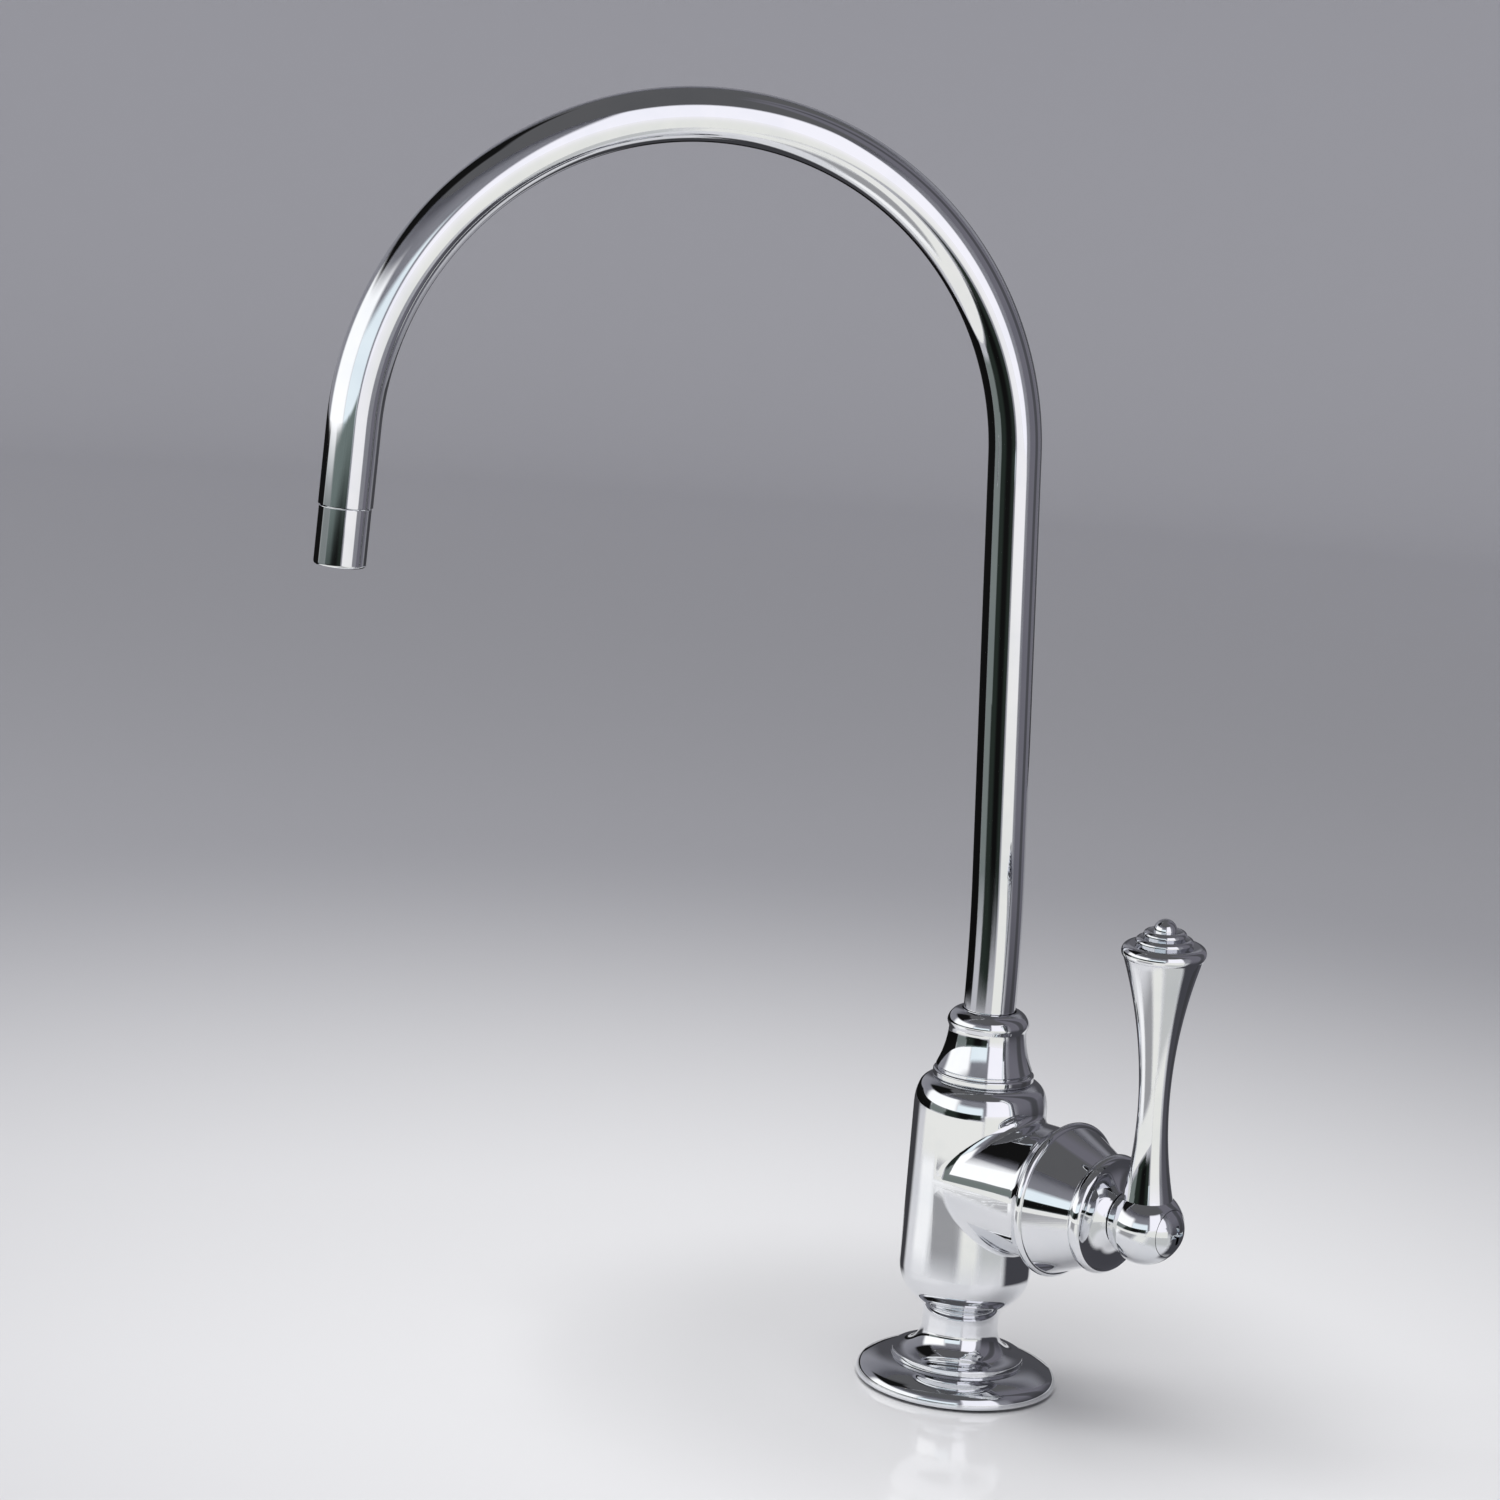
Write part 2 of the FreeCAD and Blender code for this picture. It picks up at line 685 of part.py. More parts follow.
def spout_collar():
    """Bell-shaped nut with a ring at its foot and a rounded bead round the tube."""
    bore = "collar_thread_radius + slide_fit"
    throat = "tube_radius + tube_clearance"
    ring_top = f"({barrel_top} + collar_ring_height)"
    turned(new_body("spout_collar"), [
        (bore, barrel_top),
        ("collar_radius - collar_ring_round", barrel_top, "collar_ring_round", "left"),
        ("collar_radius", f"{barrel_top} + collar_ring_round"),
        ("collar_radius", f"{ring_top} - collar_ring_round", "collar_ring_round", "left"),
        ("collar_radius - collar_ring_round", ring_top),
        ("collar_bell_foot_radius - collar_groove", ring_top),
        ("collar_bell_foot_radius - collar_groove", f"{ring_top} + collar_groove"),
        ("collar_bell_foot_radius", f"{ring_top} + collar_groove * 2", "collar_bell_curve", "right"),
        ("collar_bell_top_radius", f"{barrel_top} + collar_bell_height"),
        ("collar_bead_radius - collar_groove", f"{barrel_top} + collar_bell_height + collar_groove",
         "collar_bead_round", "left"),
        ("collar_bead_radius", f"{barrel_top} + collar_bead_height", "collar_bead_round", "left"),
        ("collar_top_radius", collar_top),
        (throat, collar_top),
        (throat, collar_shoulder),
        (bore, collar_shoulder),
    ])


def slip_ring():
    low = f"({foot_flange_top} + slip_ring_gap)"
    top = f"{low} + slip_ring_thickness"
    ring("slip_ring", "tube_radius + tube_clearance", "slip_ring_radius", low, top)


def spout_foot():
    """Plug that turns in the body's socket, with two seal grooves and a flange held by the collar."""
    outer = "(socket_radius - foot_clearance)"
    groove = f"{outer} - ring_groove_depth"
    low = f"{socket_floor} + foot_end_gap"
    corners = [("foot_bore_radius", low), (outer, low)]
    for start in (lower_ring_groove, upper_ring_groove):
        end = f"{start} + ring_groove_width"
        corners += [(outer, start), (groove, start), (groove, end), (outer, end)]
    corners += [
        (outer, foot_flange_low),
        ("foot_flange_radius", foot_flange_low),
        ("foot_flange_radius", foot_flange_top),
        ("tube_radius", foot_flange_top),
        ("tube_radius", foot_seat),
        ("foot_bore_radius", foot_seat),
    ]
    turned(new_body("spout_foot"), corners)
    for label, start in (("lower_foot_o_ring", lower_ring_groove), ("upper_foot_o_ring", upper_ring_groove)):
        middle = f"{groove} + ring_cord_radius + foot_clearance"
        o_ring(label, middle, "ring_cord_radius", f"{start} + ring_groove_width / 2")


# Stations of the spout's centre line: across is -Y, and the heading is measured from straight up
bow_end = ("(-bow_radius * (1 - cos(bow_angle)))", f"({bow_start} + bow_radius * sin(bow_angle))")
arch_start = (f"({bow_end[0]} - ({arch_spring} - {bow_end[1]}) * tan(bow_angle))", arch_spring)
arch_centre = (f"({arch_start[0]} - arch_radius * cos(bow_angle))",
               f"({arch_spring} - arch_radius * sin(bow_angle))")
arch_heading = "(bow_angle + arch_sweep)"
arch_end = (f"({arch_centre[0]} + arch_radius * cos({arch_heading}))",
            f"({arch_centre[1]} + arch_radius * sin({arch_heading}))")
leg_end = (f"({arch_end[0]} - leg_length * sin({arch_heading}))",
           f"({arch_end[1]} + leg_length * cos({arch_heading}))")
tip_turn = Rotation(Vector(1, 0, 0), worth(arch_heading) - 180)
tip_place = Placement(Vector(0, worth(leg_end[0]), worth(leg_end[1])), tip_turn)


def spout_tube():
    """Gooseneck tube: upright, a slight bow, the arch and the leg, as one path."""
    body = new_body("spout_tube")
    path = draw(new_sketch(body, "path", "YZ_Plane"), [
        ("0", foot_seat),
        ("0", bow_start, "bow_radius", "left"),
        bow_end,
        (*arch_start, "arch_radius", "left"),
        arch_end,
        leg_end,
    ], closed=False)
    for kind, name, radius in (("AdditivePipe", "outside", "tube_radius"),
                               ("SubtractivePipe", "inside", "tube_radius - tube_wall")):
        section = circle(new_sketch(body, name, "XY_Plane", foot_seat), "0", "0", radius)
        pipe = feature(body, kind, f"{name}_sweep", section)
        pipe.Spine = path
        document.recompute()
    path.Visibility = False


def outlet_tip():
    """Turned sleeve in the tube's end; its own upright axis runs up the leg, from the tube's end face."""
    outer = "tip_radius"
    spigot = "(tube_radius - tube_wall - tip_spigot_fit)"
    groove = f"{spigot} - tip_groove_depth"
    groove_end = "(tip_groove_start + tip_groove_width)"
    low = "(-tip_length)"
    step = f"({low} + tip_bore_depth + tip_mouth_length)"
    turned(new_body("outlet_tip", tip_place), [
        ("tip_mouth_radius", low),
        (f"{outer} - tip_lip", low, "tip_lip", "left"),
        (outer, f"{low} + tip_lip"),
        (outer, "-tip_seam"),
        (f"{outer} - tip_seam", "0"),
        (spigot, "0"),
        (spigot, "tip_groove_start"),
        (groove, "tip_groove_start"),
        (groove, groove_end),
        (spigot, groove_end),
        (spigot, "tip_spigot_length"),
        ("tip_throat_radius", "tip_spigot_length"),
        ("tip_throat_radius", step),
        ("tip_bore_radius", step),
        ("tip_bore_radius", f"{low} + tip_mouth_length"),
        ("tip_mouth_radius", f"{low} + tip_mouth_length"),
    ])
    middle = f"{groove} + tip_ring_cord_radius + tip_spigot_fit"
    middle_height = "tip_groove_start + tip_groove_width / 2"
    o_ring("tip_o_ring", middle, "tip_ring_cord_radius", middle_height, tip_place)
    plug = new_body("flow_straightener", tip_place)
    plug_low = f"({low} + tip_mouth_length)"
    disc = circle(new_sketch(plug, "disc", "XY_Plane", plug_low), "0", "0", "tip_bore_radius - slide_fit")
    raised(plug, disc, "straightener_length", "plug")
    centre = new_sketch(plug, "middle_hole", "XY_Plane", plug_low)
    circle(centre, "0", "0", "straightener_hole_radius")
    sunk(plug, centre, "straightener_length", "middle_way", upwards=True)
    hole = sunk(plug, circle(new_sketch(plug, "hole", "XY_Plane", plug_low), "straightener_ring_radius", "0",
                             "straightener_hole_radius"), "straightener_length", "outer_way", upwards=True)
    holes = plug.newObject("PartDesign::PolarPattern", "straightener_pattern")
    holes.Originals = [hole]
    holes.Axis = (next(line for line in plug.Origin.OriginFeatures if line.Role == "Z_Axis"), [""])
    holes.Angle = 360
    holes.setExpression("Occurrences", bound("straightener_holes"))
    plug.Tip = holes
    document.recompute()
    washer_low = f"({plug_low} + straightener_length)"
    ring("outlet_washer", "tip_bore_radius - slide_fit - outlet_washer_wall", "tip_bore_radius - slide_fit",
         washer_low, f"{washer_low} + outlet_washer_length", tip_place)


def window_corners():
    """Gives one curved window of the ceramic discs."""
    along = "cos(disc_window_half_angle)"
    across = "sin(disc_window_half_angle)"
    return [
        (f"disc_window_inner * {along}", f"disc_window_inner * {across}", "disc_window_inner", "right"),
        (f"disc_window_inner * {along}", f"-disc_window_inner * {across}"),
        (f"disc_window_outer * {along}", f"-disc_window_outer * {across}", "disc_window_outer", "left"),
        (f"disc_window_outer * {along}", f"disc_window_outer * {across}"),
    ]


def disc_windows(body, low):
    """Cuts two windows, half a turn apart."""
    window = draw(new_sketch(body, "window", "XY_Plane", low), window_corners())
    first = sunk(body, window, "disc_thickness", "window_cut", upwards=True)
    both = body.newObject("PartDesign::PolarPattern", f"{body.Name}_windows")
    both.Originals = [first]
    both.Axis = (next(line for line in body.Origin.OriginFeatures if line.Role == "Z_Axis"), [""])
    both.Angle = 360
    both.Occurrences = 2
    body.Tip = both
    document.recompute()


def valve_discs():
    """Two lapped ceramic discs, one with lugs and one with a slot. Their windows are shut at rest."""
    fixed = new_body("fixed_disc", horn_place)
    raised(fixed, circle(new_sketch(fixed, "round", "XY_Plane", fixed_disc_low), "0", "0", "disc_radius"),
           "disc_thickness", "plate")
    lug = draw(new_sketch(fixed, "lug", "XY_Plane", fixed_disc_low),
               slab_corners("disc_lug_width / 2", "disc_radius + disc_lug_rise"))
    raised(fixed, lug, "disc_thickness", "lugs")
    disc_windows(fixed, fixed_disc_low)
    moving = new_body("moving_disc", shut_place)
    raised(moving, circle(new_sketch(moving, "round", "XY_Plane", moving_disc_low), "0", "0", "disc_radius"),
           "disc_thickness", "plate")
    disc_windows(moving, moving_disc_low)
    slot = draw(new_sketch(moving, "slot", "XY_Plane", moving_disc_top),
                slab_corners("disc_slot_width / 2", "disc_radius + cut_overshoot"))
    sunk(moving, slot, "disc_slot_depth", "slot_cut")


def cartridge_housing():
    """Brass housing: disc bore with side windows and lug slots, seal groove, flange and nose."""
    body = new_body("cartridge_housing", horn_place)
    low = f"{chamber_floor} + housing_end_gap"
    groove = "housing_seal_radius - housing_groove_depth"
    groove_start = f"({chamber_floor} + housing_groove_depth_in)"
    groove_end = f"({groove_start} + housing_groove_width)"
    skirt_end = f"{chamber_floor} + housing_skirt_length"
    shoulder = f"{chamber_floor} + housing_shoulder_depth"
    shaft = "stem_radius + stem_fit"
    turned(body, [
        ("housing_bore_radius", low),
        ("housing_radius", low),
        ("housing_radius", skirt_end),
        ("housing_seal_radius", skirt_end),
        ("housing_seal_radius", groove_start),
        (groove, groove_start),
        (groove, groove_end),
        ("housing_seal_radius", groove_end),
        ("housing_seal_radius", horn_seat),
        ("housing_flange_radius", horn_seat),
        ("housing_flange_radius", housing_flange_top),
        ("housing_nose_radius", housing_flange_top),
        ("housing_nose_radius", housing_nose_top),
        (shaft, housing_nose_top),
        (shaft, shoulder),
        ("housing_bore_radius", shoulder),
    ])
    window = draw(new_sketch(body, "window", "XY_Plane", f"{chamber_floor} + housing_window_depth"),
                  slab_corners("housing_radius + cut_overshoot", "housing_window_width / 2"))
    sunk(body, window, "housing_window_length", "windows", upwards=True)
    slot = draw(new_sketch(body, "lug_slot", "XY_Plane", low),
                slab_corners("disc_lug_width / 2 + slide_fit", "disc_radius + disc_lug_rise + slide_fit"))
    sunk(body, slot, f"{moving_disc_low} - ({low})", "lug_slots", upwards=True)
    middle = f"{groove} + housing_ring_cord_radius + slide_fit"
    o_ring("housing_o_ring", middle, "housing_ring_cord_radius",
           f"{groove_start} + housing_groove_width / 2", horn_place)
    ring("seat_seal", "seal_radius - seal_wall", "seal_radius", chamber_floor, fixed_disc_low, horn_place)


def valve_stem():
    """Spindle: driver bar, seal groove, clip groove and a squared end with a tapped hole."""
    body = new_body("valve_stem", shut_place)
    foot = f"({moving_disc_top} + driver_foot_gap)"
    groove = "stem_radius - stem_groove_depth"
    groove_start = f"({chamber_floor} + stem_groove_depth_in)"
    groove_end = f"({groove_start} + stem_groove_width)"
    clip_groove = "stem_radius - clip_groove_depth"
    turned(body, [
        ("0", foot),
        ("stem_radius", foot),
        ("stem_radius", groove_start),
        (groove, groove_start),
        (groove, groove_end),
        ("stem_radius", groove_end),
        ("stem_radius", clip_low),
        (clip_groove, clip_low),
        (clip_groove, f"{clip_low} + clip_thickness"),
        ("stem_radius", f"{clip_low} + clip_thickness"),
        ("stem_radius", stem_square_start),
        ("0", stem_square_start),
    ])
    bar = draw(new_sketch(body, "bar", "XY_Plane", foot), slab_corners("driver_width / 2", "driver_radius"))
    raised(body, bar, "driver_thickness", "driver")
    key = draw(new_sketch(body, "key", "XY_Plane", f"{moving_disc_top} - disc_slot_depth + driver_foot_gap"),
               slab_corners("driver_width / 2", "driver_radius"))
    raised(body, key, "disc_slot_depth", "driver_key")
    square = draw(new_sketch(body, "square", "XY_Plane", stem_square_start),
                  slab_corners("stem_square / 2", "stem_square / 2"))
    raised(body, square, f"{stem_end} - {stem_square_start}", "squared_end")
    bored(body, box_corners("0", "stem_tap_radius", f"{stem_end} - stem_tap_depth", stem_end), "tapped_hole")
    middle = f"{groove} + stem_ring_cord_radius + stem_fit"
    o_ring("stem_o_ring", middle, "stem_ring_cord_radius", f"{groove_start} + stem_groove_width / 2",
           handle_place)
    ring("thrust_washer", "stem_radius + stem_fit", "disc_radius", f"{driver_top} + slide_fit",
         f"{driver_top} + slide_fit + thrust_washer_thickness", handle_place)
    clip = ring("stem_clip", f"{clip_groove} + slide_fit", "clip_radius", f"{clip_low} + slide_fit / 2",
                f"{clip_low} + clip_thickness - slide_fit / 2", handle_place)
    opening = draw(new_sketch(clip, "opening", "XY_Plane", clip_low),
                   box_corners("0", "clip_radius + cut_overshoot", "-clip_opening / 2", "clip_opening / 2"))
    sunk(clip, opening, "clip_thickness", "opening_cut", upwards=True)


def cartridge_lock_nut():
    """Nut that holds the housing in the horn; its nose carries the bonnet and the cap."""
    body = new_body("cartridge_lock_nut", horn_place)
    hex_top = "(horn_reach + lock_nut_hex_length)"
    cavity_end = "horn_reach + lock_nut_cavity_reach"
    hexagon = draw(new_sketch(body, "hexagon", "XY_Plane", "horn_reach"), hex_corners("lock_nut_flats"))
    raised(body, hexagon, "lock_nut_hex_length", "hexagon_prism")
    turned(body, [
        ("0", housing_flange_top),
        ("horn_thread_radius - slide_fit", housing_flange_top),
        ("horn_thread_radius - slide_fit", "horn_reach"),
        ("lock_nut_nose_radius", "horn_reach"),
        ("lock_nut_nose_radius", nose_end),
        ("0", nose_end),
    ], "skirt_and_nose")
    flat = "lock_nut_flats / 2 * nut_face_share"
    corner = "lock_nut_flats / 2 / cos(30) + cut_overshoot"
    bored(body, [(flat, hex_top), (corner, hex_top), (corner, f"{hex_top} - ({corner} - {flat}) * tan(30)")],
          "hexagon_chamfer")
    bored(body, [
        ("0", housing_flange_top),
        ("lock_nut_cavity_radius", housing_flange_top),
        ("lock_nut_cavity_radius", cavity_end),
        ("stem_radius + stem_fit", cavity_end),
        ("stem_radius + stem_fit", nose_end),
        ("0", nose_end),
    ], "bore")


def valve_bonnet():
    """Hollow trim piece on the horn: a raised ring, then a cone."""
    seam = "(horn_reach + bonnet_seam)"
    ring_end = f"({seam} + bonnet_ring_width)"
    hollow_end = f"{bonnet_front} - bonnet_front_wall"
    bore = "lock_nut_nose_radius + slide_fit"
    turned(new_body("valve_bonnet", horn_place), [
        ("bonnet_hollow_radius", "horn_reach"),
        ("bonnet_back_radius - bonnet_seam", "horn_reach"),
        ("bonnet_back_radius - bonnet_seam", seam),
        ("bonnet_back_radius", seam, "bonnet_ring_round", "left"),
        ("bonnet_back_radius", ring_end),
        ("bonnet_cone_radius", ring_end),
        ("bonnet_front_radius", bonnet_front),
        (bore, bonnet_front),
        (bore, hollow_end),
        ("bonnet_hollow_front_radius", hollow_end),
    ])


def bonnet_cap():
    """Disc with a rounded edge, coved down to a short neck round the stem."""
    seam = f"{bonnet_front} + cap_seam"
    thread = "lock_nut_nose_radius + slide_fit"
    nose = f"{nose_end} + slide_fit"
    turned(new_body("bonnet_cap", horn_place), [
        (thread, bonnet_front),
        ("cap_back_radius - cap_seam", bonnet_front),
        ("cap_back_radius", seam, "cap_edge_round", "left"),
        ("cap_disc_front_radius", f"{bonnet_front} + cap_disc_length", "cap_cove", "right"),
        ("cap_neck_radius", cap_end),
        ("cap_bore_radius", cap_end),
        ("cap_bore_radius", nose),
        (thread, nose),
    ])


def handle_hub():
    """Ball with a square socket, a seat for the screw and a flat with a hole for the lever."""
    body = new_body("handle_hub", handle_place)
    back = f"({cap_end} + hub_gap)"
    back_radius = f"sqrt(hub_radius^2 - ({hub_centre} - {back})^2)"
    seat_radius = "(screw_head_radius + screw_head_fit)"
    rim = f"({hub_centre} + sqrt(hub_radius^2 - {seat_radius}^2))"
    turned(body, [
        ("0", back),
        (back_radius, back, "hub_radius", "left"),
        ("hub_radius", hub_centre, "hub_radius", "left"),
        (seat_radius, rim),
        (seat_radius, f"{rim} - screw_seat_depth"),
        ("0", f"{rim} - screw_seat_depth"),
    ])
    socket_end = f"({stem_end} + hub_socket_end_gap)"
    half = "stem_square / 2 + hub_socket_fit"
    socket = draw(new_sketch(body, "socket", "XY_Plane", back), slab_corners(half, half))
    sunk(body, socket, f"{socket_end} - {back}", "square_socket", upwards=True)
    bored(body, box_corners("0", "screw_hole_radius", socket_end, f"{rim} - screw_seat_depth"), "screw_hole")
    lever_seat = "sqrt(hub_radius^2 - lever_foot_radius^2)"
    low = f"{hub_centre} - hub_radius"
    high = f"{hub_centre} + hub_radius"
    flat = new_sketch(body, "flat", "YZ_Plane", lever_seat)
    draw(flat, box_corners("-hub_radius", "hub_radius", low, high))
    sunk(body, flat, "hub_radius", "lever_flat", upwards=True)
    hole = circle(new_sketch(body, "hole", "YZ_Plane", lever_seat), "0", hub_centre,
                  "lever_spigot_radius + hub_socket_fit")
    sunk(body, hole, "lever_spigot_length + hub_socket_fit", "lever_hole")


def handle_lever():
    """Turned lever: foot, waist, flare, and the beehive end of stacked rounds."""
    place = handle_place * Placement(Vector(0, 0, worth(hub_centre)), Rotation(Vector(0, 1, 0), 90))
    seat = "sqrt(hub_radius^2 - lever_foot_radius^2)"
    foot_rise = f"(lever_waist_height - {seat})"
    foot_fall = "(lever_foot_radius - lever_waist_radius)"
    foot_curve = f"({foot_rise}^2 + {foot_fall}^2) / (2 * {foot_fall})"
    flare_rise = "(lever_flare_height - lever_waist_height)"
    flare_fall = "(lever_flare_radius - lever_waist_radius)"
    flare_curve = f"({flare_rise}^2 + {flare_fall}^2) / (2 * {flare_fall})"
    tier = "lever_ring_top"
    corners = [
        ("0", f"{seat} - lever_spigot_length"),
        ("lever_spigot_radius", f"{seat} - lever_spigot_length"),
        ("lever_spigot_radius", seat),
        ("lever_foot_radius", seat, foot_curve, "right"),
        ("lever_waist_radius", "lever_waist_height", flare_curve, "right"),
        ("lever_flare_radius", "lever_flare_height", "lever_ring_round", "left"),
        ("lever_ring_top_radius", tier),
    ]
    for radius in ("upper_tier_radius", "top_tier_radius"):
        top = f"({tier} + tier_height)"
        corners += [
            (f"{radius} - tier_step", tier),
            (radius, f"{tier} + tier_step", "tier_round", "left"),
            (f"{radius} - tier_inset", top),
        ]
        tier = top
    corners += [
        ("lever_dome_radius", tier, "lever_dome_radius", "left"),
        ("0", f"{tier} + lever_dome_radius"),
    ]
    turned(new_body("handle_lever", place), corners)


def handle_screw():
    """Domed screw with a cross recess, seated in the outer face of the hub."""
    body = new_body("handle_screw", handle_place)
    seat_radius = "(screw_head_radius + screw_head_fit)"
    rim = f"({hub_centre} + sqrt(hub_radius^2 - {seat_radius}^2))"
    seat = f"({rim} - screw_seat_depth)"
    dome = "(screw_head_radius^2 + screw_dome_rise^2) / (2 * screw_dome_rise)"
    turned(body, [
        ("0", f"{seat} - screw_length"),
        ("screw_shank_radius", f"{seat} - screw_length"),
        ("screw_shank_radius", seat),
        ("screw_head_radius", seat),
        ("screw_head_radius", rim, dome, "left"),
        ("0", f"{rim} + screw_dome_rise"),
    ])
    for name, half_x, half_y in (("upright", "recess_width / 2", "recess_length / 2"),
                                 ("level", "recess_length / 2", "recess_width / 2")):
        arm = draw(new_sketch(body, f"{name}_arm", "XY_Plane", f"{rim} + screw_dome_rise"),
                   slab_corners(half_x, half_y))
        sunk(body, arm, "recess_depth", f"{name}_recess")


base_gasket()
base_flange()
body_casting()
mounting_shank()
deck_stack()
supply_fitting()
spout_collar()
slip_ring()
spout_foot()
spout_tube()
outlet_tip()
valve_discs()
cartridge_housing()
valve_stem()
cartridge_lock_nut()
valve_bonnet()
bonnet_cap()
handle_hub()
handle_lever()
handle_screw()
document.recompute()

failed = [item.Name for item in document.Objects if {"Invalid", "Error"} & set(item.State)]
if failed:
    raise RuntimeError(f"these features failed: {failed}")
for piece in pieces:
    if piece.Shape.isNull() or not piece.Shape.isValid() or len(piece.Shape.Solids) != 1:
        raise RuntimeError(f"{piece.Label} is not one valid solid")

os.makedirs("parts", exist_ok=True)
for piece in pieces:
    piece.Shape.exportStep(f"parts/{piece.Label}.step")
    print(f"{piece.Label}: {piece.Shape.Volume:.0f} mm3")
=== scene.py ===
"""Drinking water faucet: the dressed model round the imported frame, laid out as a Blender add-on.

Metres, +Z up. The origin is on the deck, on the axis of the body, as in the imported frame.
"""

import json
import math

import bmesh
import bpy
from bpy.props import FloatProperty, FloatVectorProperty, PointerProperty
from bpy.types import Operator, Panel, PropertyGroup
from mathutils import Matrix, Vector


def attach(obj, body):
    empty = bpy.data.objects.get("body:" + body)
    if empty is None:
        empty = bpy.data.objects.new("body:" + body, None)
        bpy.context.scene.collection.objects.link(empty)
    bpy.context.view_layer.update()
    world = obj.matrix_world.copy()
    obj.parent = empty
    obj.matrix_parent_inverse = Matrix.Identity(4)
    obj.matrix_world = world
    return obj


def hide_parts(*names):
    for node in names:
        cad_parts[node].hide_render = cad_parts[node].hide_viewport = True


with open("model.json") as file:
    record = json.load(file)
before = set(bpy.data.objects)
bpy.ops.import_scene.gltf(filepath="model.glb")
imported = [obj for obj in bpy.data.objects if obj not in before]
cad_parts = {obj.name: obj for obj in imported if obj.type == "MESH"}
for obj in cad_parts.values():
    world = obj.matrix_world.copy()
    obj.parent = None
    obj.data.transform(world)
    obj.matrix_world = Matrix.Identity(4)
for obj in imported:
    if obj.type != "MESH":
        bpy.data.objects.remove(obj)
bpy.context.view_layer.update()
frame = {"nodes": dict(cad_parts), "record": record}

bl_info = {
    "name": "Drinking Water Faucet",
    "version": (1, 0, 0),
    "blender": (4, 5, 0),
    "location": "3D View > Sidebar > Faucet",
    "description": "Builds a gooseneck drinking water faucet piece by piece, with its finishes and its stage",
    "category": "Add Mesh",
}

MM = 0.001
UP = (0, 0, 1)
FULL_TURN = 2 * math.pi
HALF_TURN = math.pi
QUARTER_TURN = math.pi / 2

# Steps round a large turned piece, round the tube and small pieces, and round the thread
ROUND_STEPS, TUBE_STEPS, THREAD_STEPS = 144, 96, 48
# Steps over an outline's rounded corner, and over the casting's fillet
CORNER_STEPS, FILLET_STEPS = 3, 5
# Longest step of an arc in an outline, as an angle and as a length
ARC_STEP = math.radians(7)
RUN_STEP = 1.5 * MM
# Steps of the spout's runs and bends, from the foot up and over
FOOT_STEPS, BOW_STEPS, UPRIGHT_STEPS, ARCH_STEPS, LEG_STEPS = 6, 16, 24, 128, 8
# Shares of the thread's pitch where its crest starts, its crest ends and its root starts
CREST_START, CREST_END, ROOT_START = 0.36, 0.5, 0.86
# Pitches of thread that are made below the tail's foot, and cut off again
SPARE_PITCHES = 1.5
# Share of the fillet's width by which it stays clear of the two places where the crease dies out
FILLET_CLEAR = 0.8
# Points closer together than the first are merged, and points closer to a cut than the second are on it
WELD = 0.002 * MM
CUT_SLACK = WELD / 20
# Edges that turn more than this stay sharp
SHARP_ANGLE = math.radians(34)


def length(label, text, millimetres):
    """Gives a length property with its default in millimetres."""
    return FloatProperty(name=label, description=text, default=millimetres * MM, unit="LENGTH", precision=5)


def turn(label, text, radians):
    """Gives an angle property with its default in radians."""
    return FloatProperty(name=label, description=text, default=radians, subtype="ANGLE", unit="ROTATION")


def angle(label, text, degrees):
    """Gives an angle property with its default in degrees."""
    return turn(label, text, math.radians(degrees))


def colour(label, text, shade):
    """Gives a colour property."""
    return FloatVectorProperty(name=label, description=text, default=shade, subtype="COLOR", min=0.0, max=1.0)


